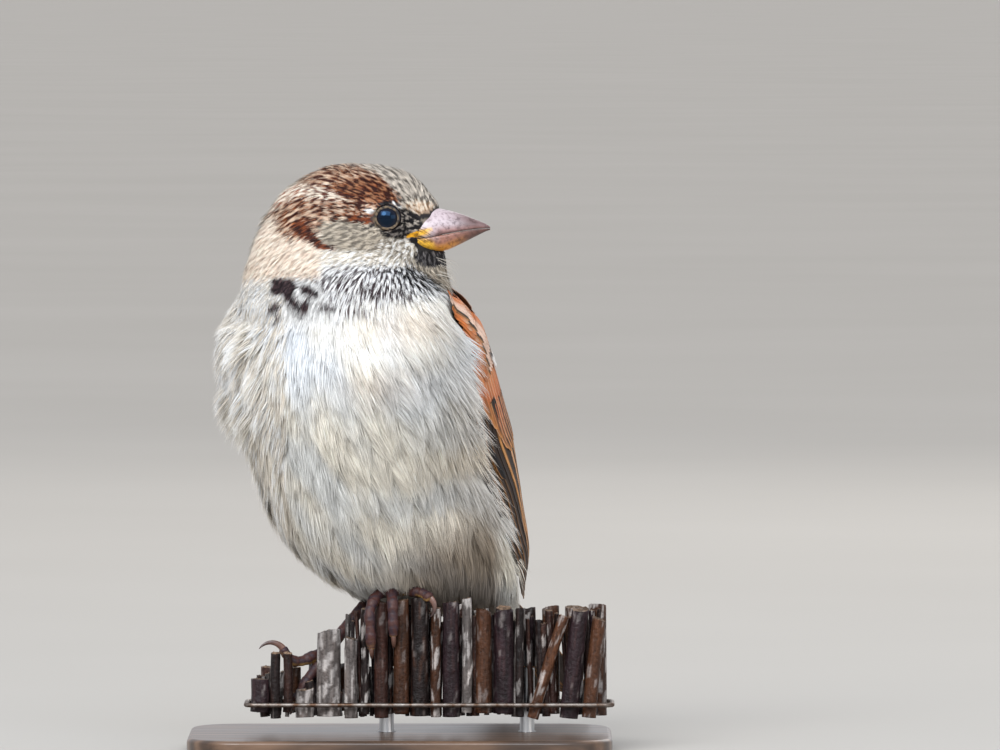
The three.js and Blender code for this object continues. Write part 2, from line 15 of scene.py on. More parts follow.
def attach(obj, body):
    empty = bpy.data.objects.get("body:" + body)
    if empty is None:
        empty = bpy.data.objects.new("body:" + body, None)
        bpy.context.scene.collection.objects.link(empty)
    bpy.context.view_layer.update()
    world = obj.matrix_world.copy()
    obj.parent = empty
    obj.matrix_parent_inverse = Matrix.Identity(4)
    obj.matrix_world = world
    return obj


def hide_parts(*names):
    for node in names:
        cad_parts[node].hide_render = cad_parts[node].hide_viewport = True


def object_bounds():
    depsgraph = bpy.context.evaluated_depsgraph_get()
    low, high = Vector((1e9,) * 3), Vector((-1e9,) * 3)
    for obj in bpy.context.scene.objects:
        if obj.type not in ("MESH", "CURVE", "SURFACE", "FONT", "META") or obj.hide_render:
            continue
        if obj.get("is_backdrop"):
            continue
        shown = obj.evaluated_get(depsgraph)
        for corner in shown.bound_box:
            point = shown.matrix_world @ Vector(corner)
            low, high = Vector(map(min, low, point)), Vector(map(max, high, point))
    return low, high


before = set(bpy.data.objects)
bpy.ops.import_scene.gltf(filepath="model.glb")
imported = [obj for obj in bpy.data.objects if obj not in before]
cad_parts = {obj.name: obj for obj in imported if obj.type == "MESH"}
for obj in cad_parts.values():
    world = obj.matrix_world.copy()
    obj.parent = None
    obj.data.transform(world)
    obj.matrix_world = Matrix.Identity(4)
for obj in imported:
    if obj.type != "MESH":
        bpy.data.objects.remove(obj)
cad_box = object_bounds()
scene = bpy.context.scene
rng = np.random.default_rng(11)
vec = lambda *v: np.array(v, float)
MM = 0.001

# ---------------------------------------------------------------- frames and sizes


def rot_z(a):
    return np.array([[math.cos(a), -math.sin(a), 0], [math.sin(a), math.cos(a), 0], [0, 0, 1]])


def rot_y(a):
    return np.array([[math.cos(a), 0, math.sin(a)], [0, 1, 0], [-math.sin(a), 0, math.cos(a)]])


# Trunk: x along the spine to the neck, y to the bird's left, z to its back.
BODY = rot_z(-math.radians(31) - math.pi / 2) @ rot_y(-math.radians(50))
TAIL_BASE = vec(9.7, 16.6, 42.2)
# Head: x to the bill's tip, y to the bird's left, z up, from between the eyes.
HEAD = rot_z(math.radians(-6))
HEAD_CENTRE = vec(-2.8, -21, 116.6)
TAIL = BODY @ rot_y(math.radians(12))

to_body = lambda p: (p - TAIL_BASE) @ BODY
from_body = lambda p: p @ BODY.T + TAIL_BASE
to_head = lambda p: (p - HEAD_CENTRE) @ HEAD
from_head = lambda p: p @ HEAD.T + HEAD_CENTRE
from_tail = lambda p: p @ TAIL.T + TAIL_BASE

# along, side, belly, back, sway, rise
TRUNK = np.array([
    (-24, 4, 2.6, 2.4, 0, 5.4), (-19, 8, 5, 4, 0.3, 4.2), (-12, 12, 7.5, 5, 0.4, 2.4),
    (-3, 16.8, 14.4, 7.5, -1.2, 0), (6, 20.5, 22, 11, -3.5, 0), (17, 23.2, 27.3, 15, -5.3, 0),
    (30, 24.7, 29.4, 18.5, -6.2, 0), (44, 26, 28, 20.5, -4.2, 0), (58, 27.9, 25.3, 20.5, -3.2, 0),
    (69, 27.4, 21.2, 18.5, -1.3, 0), (78, 18.8, 13.6, 14, 0, 0), (84, 11, 7.2, 8, 0, 0),
    (86, 4, 2.7, 3, 0, 0)], float)
# up, front, back, half, shift, taper
SKULL = np.array([
    (-36, 4, -22, 15, 8, 1), (-28, 10, -30, 19, 5, 1), (-21, 14.2, -33, 19, 2.5, 1.1),
    (-15, 14.2, -31.5, 16.8, 1, 1.3), (-10, 13.5, -30.2, 14.4, 0.2, 1.7),
    (-5.5, 12.7, -29, 12.8, 0, 2.1), (-1, 12.5, -26.8, 11.6, 0, 1.6),
    (3.2, 11.3, -24.6, 10.8, 0, 1.35), (6.6, 8.9, -21.6, 9.6, 0, 1.2),
    (9.2, 5.6, -17.4, 7.6, 0, 1.1), (10.8, 1.5, -12.8, 5, 0, 1), (11.5, -3, -8.5, 2, 0, 1)], float)
WIDEST = -10
# ahead, culmen, mouth, gonys, half
BILL = np.array([
    (4.6, -2.4, -4.7, -6.4, 5), (7, 0.2, -4.5, -7.1, 4.9), (10, 1.9, -4.15, -7.4, 4.4),
    (13, 1.6, -3.6, -7.1, 3.6), (16, 0.8, -3.05, -5.8, 2.7), (19, -0.3, -2.6, -4.3, 1.65),
    (21.4, -1.3, -2.4, -3.1, 0.8), (22.5, -2, -2.35, -2.7, 0.3)], float)
# along, side, back, sway
BED = np.array([
    (-28, 9, 12, -1), (-16, 12.8, 13, -1), (-4, 18, 13.6, -1.5), (6, 21.5, 14.8, -3.5),
    (17, 24.4, 17, -5.1), (30, 26.1, 19.9, -5.8), (44, 27.2, 21.9, -4.2), (58, 29.1, 21.9, -3.2),
    (70, 28.2, 19.8, -1.3)], float)
# along, near, far, rim, full: the folded wing's edges as turns from the flank in degrees, and its
# height over the bed at its edges and between them
WING = np.array([
    (66, 16, 38, 0.5, 0.8), (63, 2, 54, 0.8, 2.1), (56, -6, 64, 1.1, 3.6), (46, -5, 68, 1.5, 4),
    (36, -4, 74, 1.8, 4.1), (26, -3, 79, 1.8, 4.2), (17, -2, 82, 1.7, 3.3), (8, -2, 77, 1.5, 2.5),
    (0, -2, 68, 1.2, 2), (-8, 1, 56, 0.9, 1.4), (-14, 9, 47, 0.7, 0.9), (-19, 24, 40, 0.5, 0.5)], float)[::-1]
RIGHT_TUCK = 14
EYE_RADIUS = 3.3
EYE_DEPTH = 7.15
EYE_AHEAD = 0.9


def blend(stations, u):
    """Station rows blended smoothly at shares u of the way along the list."""
    last = len(stations) - 1
    place = np.clip(u, 0, 1) * last
    i = np.minimum(place.astype(int), last - 1)
    f = (place - i)[:, None]
    a, b, c, d = (stations[np.clip(i + k, 0, last)] for k in (-1, 0, 1, 2))
    return b + 0.5 * f * (c - a + f * (2 * a - 5 * b + 4 * c - d + f * (3 * (b - c) + d - a)))


def ss(x, a, b):
    """0 at a and 1 at b, smoothly."""
    t = np.clip((x - a) / (b - a), 0, 1)
    return t * t * (3 - 2 * t)


def lerp(a, b, t):
    return a + (b - a) * t


def unit(v):
    return v / np.maximum(np.linalg.norm(v, axis=-1, keepdims=True), 1e-9)


def vary(n):
    """A repeatable number from 0 to 1 for each whole number."""
    return abs(math.sin(n * 12.9898 + 4.1414) * 43758.5453) % 1


def wave_noise(p, size, seed):
    """Smooth noise about 0, from a few crossed waves of about that size."""
    r = np.random.default_rng(seed)
    total = np.zeros(len(p))
    for _ in range(6):
        k = unit(r.normal(size=3)) * 2 * math.pi / size * r.uniform(0.6, 1.5)
        total += np.sin(p @ k + r.uniform(0, 6.3))
    return total / 6


def turns(count):
    """Evenly spaced angles of a full turn."""
    return np.arange(count) / count * 2 * math.pi


def tint(a, b, shares):
    """Colours from a to b, one for each share."""
    return a + (b - a) * shares[:, None]


# ---------------------------------------------------------------- meshes and materials


def placed(name, data):
    """A new object in the scene."""
    obj = bpy.data.objects.new(name, data)
    scene.collection.objects.link(obj)
    return obj


def finish(obj, slot):
    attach(obj, "root")


def add_colour(mesh, colour):
    layer = mesh.color_attributes.new("Plumage", "FLOAT_COLOR", "POINT")
    rgba = np.ones((len(colour), 4), np.float32)
    rgba[:, :3] = np.clip(colour, 0, 1)
    layer.data.foreach_set("color", rgba.ravel())


def add_uv(mesh, name, places):
    """A UV layer from a place for each point."""
    loops = np.empty(len(mesh.loops), np.int32)
    mesh.loops.foreach_get("vertex_index", loops)
    layer = mesh.uv_layers.new(name=name)
    layer.data.foreach_set("uv", places[loops].astype(np.float32).ravel())


def make(name, points, faces, slot, material, colour=None, uv=None, normals=None):
    """A mesh object on the body from points in mm and faces as arrays of equal-sided polygons."""
    mesh = bpy.data.meshes.new(name)
    loops = np.concatenate([f.ravel() for f in faces]).astype(np.int32)
    sizes = np.concatenate([np.full(len(f), f.shape[1], np.int32) for f in faces])
    mesh.vertices.add(len(points))
    mesh.vertices.foreach_set("co", (points * MM).astype(np.float32).ravel())
    mesh.loops.add(len(loops))
    mesh.loops.foreach_set("vertex_index", loops)
    mesh.polygons.add(len(sizes))
    mesh.polygons.foreach_set("loop_start", np.concatenate([[0], np.cumsum(sizes)[:-1]]).astype(np.int32))
    mesh.update(calc_edges=True)
    mesh.shade_smooth()
    if colour is not None:
        add_colour(mesh, colour)
    if uv is not None:
        add_uv(mesh, "OFBake", uv)
    if normals is not None:
        mesh.normals_split_custom_set_from_vertices(normals.astype(np.float32))
    mesh.materials.append(material)
    obj = placed(name, mesh)
    finish(obj, slot)
    return obj


def grid_faces(rows, columns, around=False):
    """Quads over rows of equally many points; around joins each row's end to its start."""
    i = np.arange(rows - 1)[:, None] * columns
    j = np.arange(columns if around else columns - 1)[None, :]
    k = (j + 1) % columns
    return np.stack([i + j, i + k, i + k + columns, i + j + columns], -1).reshape(-1, 4)


def closed_tube_faces(rows, columns):
    """Quads over rings whose last one joins the first."""
    last = (rows - 1) * columns
    j = np.arange(columns)
    k = (j + 1) % columns
    return np.concatenate([grid_faces(rows, columns, True), np.stack([last + j, last + k, k, j], 1)])


def loft(rings):
    """Points and faces of a closed skin over rings (rows, columns, 3), its faces outwards."""
    rows, columns = rings.shape[:2]
    middle = rings.reshape(-1, 3).mean(0)
    a = rings - middle
    b, c = np.roll(a, -1, 1)[:-1], np.roll(a, -1, 1)[1:]
    if np.sum(np.cross(a[:-1], b) * c) + np.sum(np.cross(a[:-1], c) * a[1:]) < 0:
        rings = rings[:, ::-1]
    points = np.concatenate([rings.reshape(-1, 3), rings[0].mean(0)[None], rings[-1].mean(0)[None]])
    j = np.arange(columns)
    k = (j + 1) % columns
    start, end = rows * columns, (rows - 1) * columns
    ends = [np.stack([np.full(columns, start), k, j], 1),
            np.stack([np.full(columns, start + 1), j + end, k + end], 1)]
    return points, [grid_faces(rows, columns, True), np.concatenate(ends)]


def merged(parts):
    """Several (points, faces, ...) as one; further entries are arrays with a row for each point."""
    first, points, faces, more = 0, [], [], []
    for part in parts:
        points.append(part[0])
        faces += [f + first for f in part[1]]
        more.append(part[2:])
        first += len(part[0])
    by_size = ([f for f in faces if f.shape[1] == size] for size in (4, 3))
    joined = [np.concatenate(f) for f in by_size if f]
    return (np.concatenate(points), joined, *[np.concatenate(m) for m in zip(*more)])


def rings_round(path, across, up, radii, sides):
    """Rings round a path of points (n, 3), from two directions across it; radii (n, sides)."""
    angle = turns(sides)[None, :, None]
    return path[:, None] + radii[..., None] * (across[:, None] * np.cos(angle) + up[:, None] * np.sin(angle))


def sweep(path, radii, sides):
    """Rings round a path of points (n, 3); radii (n,) or (n, sides)."""
    tangent = unit(np.gradient(path, axis=0))
    helper = vec(0, 0, 1) if abs(tangent[:, 2]).mean() < 0.8 else vec(0, 1, 0)
    across = unit(np.cross(tangent, helper))
    radii = radii[:, None] if np.ndim(radii) == 1 else radii
    radii = np.broadcast_to(radii, (len(path), sides))
    return rings_round(path, across, np.cross(across, tangent), radii, sides)


def ball(centre, axis, radius, rows, sides, pole):
    """A closed ball with its poles on an axis; pole is the radius of its end rings."""
    turn = np.linspace(0, math.pi, rows)
    line = centre + axis * (radius * np.cos(turn))[:, None]
    return loft(sweep(line, radius * np.sin(turn) + pole, sides))


def spline(points, count):
    """A smooth path through points."""
    points = np.asarray(points, float)
    fine = blend(points, np.linspace(0, 1, count * 6))
    length = np.concatenate([[0], np.cumsum(np.linalg.norm(np.diff(fine, axis=0), axis=1))])
    at = np.linspace(0, length[-1], count)
    return np.stack([np.interp(at, length, fine[:, k]) for k in range(3)], 1)


def streaks(p, direction, size, length):
    """A rank from 0 to 1 for each point, alike in thin streaks that run along direction."""
    r = np.random.default_rng(2)
    total, weight = np.zeros(len(p)), np.zeros(len(p))
    for _ in range(72):
        k = unit(r.normal(size=3)) * 2 * math.pi / (size * r.uniform(0.6, 1.8))
        w = np.sinc(direction @ k * length / math.pi)
        total += w * np.sin(p @ k + r.uniform(0, 6.3))
        weight += w * w
    return 1 / (1 + np.exp(-2.4 * total / np.sqrt(weight + 1e-9)))


class Shader:
    """A material's nodes, built by name."""

    def __init__(self, name, **sockets):
        self.material = bpy.data.materials.new(name)
        self.material.use_nodes = True
        self.tree = self.material.node_tree
        self.tree.nodes.clear()
        self.out = self.node("ShaderNodeOutputMaterial")
        self.surface = self.node("ShaderNodeBsdfPrincipled")
        self.link(self.surface.outputs[0], self.out.inputs[0])
        for key, value in sockets.items():
            self.surface.inputs[key.replace("_", " ")].default_value = value

    def node(self, kind, **settings):
        """A node; settings that start with in_ are its inputs, by name."""
        made = self.tree.nodes.new(kind)
        for key, value in settings.items():
            if key.startswith("in_"):
                made.inputs[key[3:].replace("_", " ")].default_value = value
            else:
                setattr(made, key, value)
        return made

    def link(self, a, b):
        self.tree.links.new(a, b)

    def put(self, value, socket):
        """Gives a socket another node's output, a number or a colour."""
        if isinstance(value, bpy.types.NodeSocket):
            self.link(value, socket)
        elif isinstance(value, (int, float)):
            socket.default_value = value
        else:
            socket.default_value = (*value, 1)

    def coords(self, scale):
        source = self.node("ShaderNodeTexCoord")
        mapping = self.node("ShaderNodeMapping", in_Scale=scale)
        self.link(source.outputs["Object"], mapping.inputs["Vector"])
        return mapping.outputs[0]

    def noise(self, scale, detail=3.0, rough=0.55, stretch=(1, 1, 1)):
        made = self.node("ShaderNodeTexNoise", in_Scale=scale, in_Detail=detail, in_Roughness=rough)
        self.link(self.coords(stretch), made.inputs["Vector"])
        return made.outputs[0]

    def ramp(self, value, stops):
        made = self.node("ShaderNodeValToRGB")
        ramp = made.color_ramp
        while len(ramp.elements) < len(stops):
            ramp.elements.new(0.5)
        for element, (place, colour) in zip(ramp.elements, stops):
            element.position = place
            element.color = (*colour, 1)
        self.link(value, made.inputs[0])
        return made.outputs[0]

    def mix(self, factor, a, b, kind="MIX"):
        made = self.node("ShaderNodeMix", data_type="RGBA", blend_type=kind)
        for value, place in ((factor, 0), (a, 6), (b, 7)):
            self.put(value, made.inputs[place])
        return made.outputs[2]

    def dimmed(self, colour, value, stops):
        """A colour times a ramp over a value."""
        return self.mix(1.0, colour, self.ramp(value, stops), "MULTIPLY")

    def maths(self, operation, *values):
        made = self.node("ShaderNodeMath", operation=operation)
        for socket, value in zip(made.inputs, values):
            self.put(value, socket)
        return made.outputs[0]

    def attribute(self):
        return self.node("ShaderNodeAttribute", attribute_name="Plumage").outputs[0]

    def colour(self, value):
        self.link(value, self.surface.inputs["Base Color"])

    def rough(self, value, low, high):
        made = self.node("ShaderNodeMapRange", in_To_Min=low, in_To_Max=high)
        self.link(value, made.inputs["Value"])
        self.link(made.outputs[0], self.surface.inputs["Roughness"])

    def bump(self, height, strength, distance):
        made = self.node("ShaderNodeBump", in_Strength=strength, in_Distance=distance)
        self.link(height, made.inputs["Height"])
        self.link(made.outputs[0], self.surface.inputs["Normal"])


def plumage_material():
    """Colour from the markings, with a little fine mottling."""
    s = Shader("plumage", Roughness=0.62, Specular_IOR_Level=0.2, Sheen_Weight=0.03, Sheen_Roughness=0.5)
    s.colour(s.dimmed(s.attribute(), s.noise(2600, detail=2), [(0.3, (0.9, 0.9, 0.9)), (0.75, (1, 1, 1))]))
    return s.material


plumage = plumage_material()

# ---------------------------------------------------------------- markings

W_BREAST = vec(0.895, 0.895, 0.89)
W_BELLY = vec(0.82, 0.795, 0.74)
FLANK = vec(0.76, 0.69, 0.61)
VENT = vec(0.86, 0.83, 0.76)
LOWER = vec(0.20, 0.145, 0.10)
CREAM = vec(0.80, 0.725, 0.62)
CHEEK = vec(0.40, 0.345, 0.275)
CHEST = vec(0.25, 0.062, 0.017)
CHEST_DARK = vec(0.045, 0.011, 0.007)
BUFF = vec(0.56, 0.34, 0.19)
NAPE = vec(0.84, 0.66, 0.53)
CROWN = vec(0.46, 0.41, 0.35)
STREAK = vec(0.07, 0.055, 0.045)
BLACK = vec(0.012, 0.010, 0.011)
BACK = vec(0.30, 0.165, 0.085)
RUMP = vec(0.27, 0.21, 0.155)
WHITE = vec(0.86, 0.85, 0.83)

# The front view: its eye looks a little down, at LOOK_AT, from VIEW_DISTANCE.
FIELD_WIDTH, LENS, SENSOR = 217.4, 400, 36
TILT = math.radians(2.1)
VIEW_DISTANCE = FIELD_WIDTH / SENSOR * LENS
LOOK = vec(0, math.cos(TILT), -math.sin(TILT))
VIEW_UP = vec(0, math.sin(TILT), math.cos(TILT))
LOOK_AT = vec(21.7, 0, 81.8)
# Place of the right eye in the front view, left of LOOK_AT and above it.
EYE_LEFT, EYE_ABOVE = 24.57, 34.35
NOWHERE = -9
NO_TIP = 1.2


def from_front(p):
    """Place in the front view in mm, to the right of the right eye and above it."""
    rel = p - (LOOK_AT - LOOK * VIEW_DISTANCE)
    k = VIEW_DISTANCE / (rel @ LOOK)
    return rel[:, 0] * k + EYE_LEFT, (rel @ VIEW_UP) * k - EYE_ABOVE


def ellipse(x, z, cx, cz, rx, rz, degrees=0):
    """Millimetres inside (above 0) or outside an ellipse, roughly."""
    c, s = math.cos(math.radians(degrees)), math.sin(math.radians(degrees))
    dx, dz = x - cx, z - cz
    return (1 - np.hypot((dx * c + dz * s) / rx, (dz * c - dx * s) / rz)) * min(rx, rz)


def stroke(x, z, *knots):
    """Millimetres inside a brush stroke through knots (x, z, half-width)."""
    best = np.full(len(x), -1e9)
    for (ax, az, aw), (bx, bz, bw) in zip(knots, knots[1:]):
        dx, dz = bx - ax, bz - az
        t = np.clip(((x - ax) * dx + (z - az) * dz) / (dx * dx + dz * dz), 0, 1)
        best = np.maximum(best, aw + (bw - aw) * t - np.hypot(x - ax - t * dx, z - az - t * dz))
    return best


class Marks:
    """Markings laid one over another on points p of the coat, each with colours for the edges, the
    cores and the tips of its strands. r and tuft are noise about 0 for each strand and feather."""

    def __init__(self, p, r, tuft):
        h = to_head(p)
        x, z = from_front(p)
        far = ss(h[:, 1], -4, 5)
        self.x, self.z = lerp(x, h[:, 0] - EYE_AHEAD, far), lerp(z, h[:, 2], far)
        self.p, self.side, self.seen = p, np.abs(h[:, 1]), h[:, 1] < 2
        self.edge, self.core, self.tip = (np.empty((len(p), 3)) for _ in range(3))
        self.width, self.start = np.zeros(len(p)), np.full(len(p), NO_TIP)
        self.r, self.tuft, self.wobble = r, tuft, 0.9 * wave_noise(p, 2.4, 3)

    def lay(self, inside, soft, outer, middle, end, wide, tipped=NO_TIP, ragged=0.5):
        """Lays a marking: inside in mm, soft the ragged edge's width in mm, wide the share of core
        streaks, tipped the share of the strand at which its tip starts."""
        on = inside / soft + ragged * self.r * 2 + 0.25 * self.wobble + 0.4 * self.tuft > 0
        for layer, colour in ((self.edge, outer), (self.core, middle), (self.tip, end)):
            layer[on] = np.broadcast_to(outer if colour is None else colour, layer.shape)[on]
        self.width[on] = wide
        self.start[on] = tipped

    def oval(self, *shape):
        return ellipse(self.x, self.z, *shape)

    def line(self, *knots):
        return stroke(self.x, self.z, *knots)


def body_marks(m):
    X, Z, b = m.p[:, 0], m.p[:, 2], to_body(m.p)
    under = tint(W_BREAST, W_BELLY, ss(Z, 88, 66))
    under = tint(under, FLANK, ss(X, 2, 22) * ss(Z, 92, 78) * 0.75)
    # the lower belly darker and browner: partly its own grey-brown, partly painted shade under the body
    dark = ss(Z - 0.25 * (X - 8), 52, 40) * ss(X, -6, 8) * (1 - ss(X, 19.5, 23))
    under = tint(under, LOWER, dark * 0.75)
    under = tint(under, VENT, ss(X, 20, 23.5) * ss(Z, 50, 42))
    buff = np.maximum(ellipse(X, Z, 2, 93, 9, 4) + 3, ellipse(X, Z, -4, 80, 7, 3.4) + 3) / 6
    under = tint(under, lerp(CREAM, BUFF, 0.3), 0.55 * np.clip(buff, 0, 1))
    drift = ss(wave_noise(m.p * vec(1, 1, 0.45), 13, 9), -0.35, 0.35)
    under = under * tint(vec(0.95, 0.98, 1.02), vec(1.03, 0.995, 0.93), drift)
    m.lay(np.ones(len(X)), 1, under, under * 0.9, under * 1.05, 0.12, 0.7)
    dorsal = b[:, 2] - lerp(6, 9, ss(b[:, 0], 40, 70))
    m.lay(np.where(m.z < -11, dorsal, NOWHERE), 2.5, BACK, BLACK * 2.5, lerp(BACK, BUFF, 0.5), 0.42, 0.8)
    m.lay(np.where(b[:, 0] < 22, b[:, 2] - 2, NOWHERE), 2.5, RUMP, RUMP * 0.8, RUMP * 1.25, 0.3, 0.75)


def throat_marks(m):
    """Neck and throat, outside in."""
    x, z, lay, oval, line = m.x, m.z, m.lay, m.oval, m.line
    hidden = 9 * ~m.seen
    up = z + 12.5 + 0.12 * (x + 10)
    lay(up + 3, 2, WHITE, WHITE * 0.8, None, 0.15)
    nape = np.where((x < -15) | (m.side < 4) & (x < -12), z + 13.6 + 0.25 * (x + 24), NOWHERE)
    lay(nape, 2, lerp(NAPE, CREAM, 0.3), NAPE * 0.7, CREAM, 0.26, 0.7, 0.8)
    collar = np.minimum(oval(-3.5, -14.6, 16.5, 4.6, 3), np.where(m.seen, 9, 1.2))
    lay(collar, 1.8, WHITE * vec(0.95, 0.95, 0.98), vec(0.10, 0.08, 0.085), WHITE, 0.40, 0.85, 1)
    band = line((-12, -14.2, 1.2), (-4, -16.4, 1.5), (3, -16.2, 1.4), (9, -14.6, 1)) - hidden
    lay(band, 1, WHITE * 0.85, vec(0.045, 0.026, 0.03), WHITE, 0.55, 0.88, 0.9)
    lay(oval(8.4, -12.6, 6.2, 4.4, 0), 1.6, vec(0.62, 0.63, 0.66), BLACK * 1.5, WHITE, 0.5, 0.84, 1)
    patch = oval(-10.5, -20.2, 7, 1.5, -6) - hidden
    lay(patch, 1.2, WHITE * 0.9, vec(0.12, 0.09, 0.09), WHITE, 0.4, 0.85, 1)
    patch = np.where(m.seen, oval(-19.8, -18.2, 7, 5.4, -20), NOWHERE)
    lay(patch, 1, WHITE, WHITE * 0.75, WHITE, 0.3, 0.9, 0.8)


def cheek_marks(m):
    """The cheek and the stripes round it."""
    x, z, lay, oval = m.x, m.z, m.lay, m.oval
    top = -7.2 - 0.02 * (x + 8) ** 2 * (x > -8)
    lay((z + 10.4) * (x > -22), 1.5, CREAM, CREAM * 0.8, WHITE, 0.22, 0.7, 0.7)
    lay(np.minimum(z - top, x + 17), 1, CHEEK, CHEEK * 0.6, CHEEK * 1.35, 0.34, 0.74, 0.7)
    lay(oval(3.6, -6.6, 5.6, 2.5, 8), 1.4, lerp(CREAM, CHEEK, 0.35), CHEEK * 0.7, WHITE, 0.26, 0.7, 0.8)
    behind = np.minimum(-x - 15, z + 11 - 0.1 * x)
    lay(behind, 1.6, lerp(NAPE, CREAM, 0.25) * 1.1, NAPE * 0.75, CREAM * 1.1, 0.22, 0.7, 0.8)


def crown_marks(m):
    """The grey crown and the chestnut sides."""
    x, z, lay, oval, line = m.x, m.z, m.lay, m.oval, m.line
    fringe = lerp(BUFF, CREAM, 0.4)
    base = np.where(x < 3, z + 0.2, z - 3.2)
    lay(base, 0.9, lerp(CHEST, BUFF, 0.28), CHEST_DARK * 1.4, fringe, 0.42, 0.82, 0.8)
    pale = CREAM * 1.05
    lay(oval(-13.6, 5.2, 6.6, 3, -8), 1.4, lerp(BUFF, CREAM, 0.6), CHEST_DARK * 2.4, pale, 0.36, 0.62, 0.9)
    lay(oval(-22, 5.4, 5, 3.4, 40), 1.4, lerp(NAPE, CREAM, 0.45), CHEST * 1.4, pale, 0.26, 0.66, 0.9)
    half = np.interp(x, [-24, -20, -10, -6, -3, -0.7, 2, 4, 13], [2.6, 3, 3.6, 4.2, 5, 6.4, 8.6, 12, 12])
    low = np.interp(x, [-28, -22, -14, -6, 2, 2.3, 10], [-13, -7, -3, -1, 0, 1.2, 2.1])
    grey = np.where(z > low, half - m.side, NOWHERE)
    lay(grey, 0.9, CROWN, lerp(STREAK, CROWN, 0.22), CROWN * 1.5, 0.32, 0.8, 0.8)
    dark = np.maximum(oval(-2.2, 5.2, 5.6, 2.7, -32), oval(-7.6, 6.4, 6.4, 2.4, -16))
    dark = np.where(m.side > 4, dark, NOWHERE)
    lay(dark, 0.9, CHEST, CHEST_DARK, lerp(CHEST, BUFF, 0.45), 0.62, 0.97, 0.7)
    arc = oval(-12.5, 9.2, 6, 1.9, 10)
    lay(arc, 1.2, lerp(CHEST, BUFF, 0.25), CHEST_DARK * 1.5, fringe, 0.4, 0.85, 0.8)
    brow = line((-2.8, 1.6, 1.2), (-7, 1.3, 1.8), (-15, 1.3, 2.2))
    lay(brow, 0.9, lerp(CHEST, BUFF, 0.1), CHEST_DARK, lerp(BUFF, CREAM, 0.5), 0.44, 0.86, 0.7)
    warm = CHEST * vec(1.2, 1.35, 1.3)
    lay(oval(-19.2, -0.6, 4.8, 4.4, 0), 1.3, warm, CHEST_DARK * 1.2, fringe, 0.36, 0.82, 0.8)
    hook = line((-18.8, -2.4, 1.8), (-16.6, -4.6, 1.3), (-14.8, -6, 0.85), (-12, -7, 0.4))
    lay(hook, 0.6, CHEST_DARK * 2.2, CHEST_DARK * 0.8, CHEST, 0.55, 0.95, 0.4)
    lay(line((-7.5, -0.3, 0.8), (-2.6, -0.9, 0.7)), 0.7, CHEST_DARK * 1.8, CHEST_DARK, CHEST, 0.45, 0.95)


def face_marks(m):
    """Round the eye and the bill."""
    lay, oval, line = m.lay, m.oval, m.line
    ring = np.hypot(m.x, m.z)
    lay(oval(6.9, 2, 3.6, 1.5, -4), 0.7, lerp(BUFF, CREAM, 0.3), BUFF * 0.45, CREAM, 0.32, 0.85, 0.7)
    mask = oval(2.8, -1.4, 5.2, 3.4, -12)
    lay(mask, 0.6, vec(0.27, 0.235, 0.20), BLACK, vec(0.50, 0.44, 0.38), 0.55, 0.9, 0.9)
    lay(oval(2, -3.2, 3.6, 1.3, 0), 0.4, BLACK * 2, BLACK, vec(0.30, 0.26, 0.23), 0.66, 0.95, 0.6)
    lay(3.15 - ring, 0.25, BLACK * 1.6, BLACK, vec(0.3, 0.24, 0.2), 0.5, 0.95, 0.6)
    lore = line((4.6, 0.8, 0.4), (7, 0, 0.5), (9, 0.1, 0.6), (11.2, 2.1, 0.6), (12.4, 2.9, 0.35))
    lay(lore, 0.3, BLACK * 1.6, BLACK, BLACK * 2, 0.5, NO_TIP, 0.35)
    lay(line((-2.4, -1.9, 0.45), (-5.4, -2.4, 0.25)), 0.4, BLACK * 3, BLACK, CHEEK, 0.5, 0.85, 0.5)
    lid = line((-1.6, 2.9, 0.35), (1.4, 3.4, 0.3), (2.6, 2.2, 0.3))
    lay(lid, 0.3, BLACK * 2, BLACK, BLACK * 4, 0.5, 0.85, 0.5)
    fleck = line((-5, 1.5, 0.15), (-3.6, 1.2, 0.45), (-2.9, 1.5, 0.25))
    lay(fleck, 0.4, WHITE * 0.9, BLACK * 8, WHITE, 0.2, NO_TIP, 0.5)
    lay(line((1.4, 3.2, 0.25), (2.8, 2.3, 0.35)), 0.3, WHITE * 0.8, BLACK * 6, WHITE, 0.3, NO_TIP, 0.3)
    gape = line((4.4, -4.3, 0.3), (6.4, -3.7, 0.6), (8.4, -2.8, 0.7))
    lay(gape, 0.3, vec(0.82, 0.40, 0.02), None, None, 0, NO_TIP, 0.25)
    under_gape = line((5.2, -4.9, 0.5), (6.6, -5.5, 0.85), (7.4, -7, 0.9))
    lay(under_gape, 0.3, BLACK * 1.5, BLACK, BLACK * 2, 0.5, NO_TIP, 0.3)
    lay(oval(10, -8.6, 4, 2.4, 4), 0.5, BLACK, BLACK, vec(0.12, 0.11, 0.11), 0.6, 0.97, 0.5)


def bib_spots(m):
    spots = [m.oval(-22.8, -15.3, 2.6, 1.8, -28), m.oval(-20.9, -14.6, 1.6, 0.9, -35),
             m.oval(-24.4, -16.2, 1.1, 0.9, 0), m.oval(-16.9, -16.3, 2.1, 1.05, -28),
             m.line((-21.5, -17.6, 1), (-19.6, -19.6, 1.15), (-18.4, -20.9, 0.8)),
             m.line((-17.6, -18.6, 0.7), (-18.2, -20.6, 0.9)), m.oval(-24.6, -20, 1.7, 0.95, 32),
             m.oval(-23.9, -22.6, 0.9, 0.8, 0), m.oval(-13.4, -19.9, 2.1, 0.6, -8)]
    inside = np.where(m.seen, np.maximum.reduce(spots), NOWHERE)
    dark, darkest, worn = vec(0.05, 0.028, 0.032), vec(0.02, 0.012, 0.014), vec(0.09, 0.055, 0.055)
    m.lay(inside, 0.3, dark, darkest, worn, 0.6, NO_TIP, 0.5)


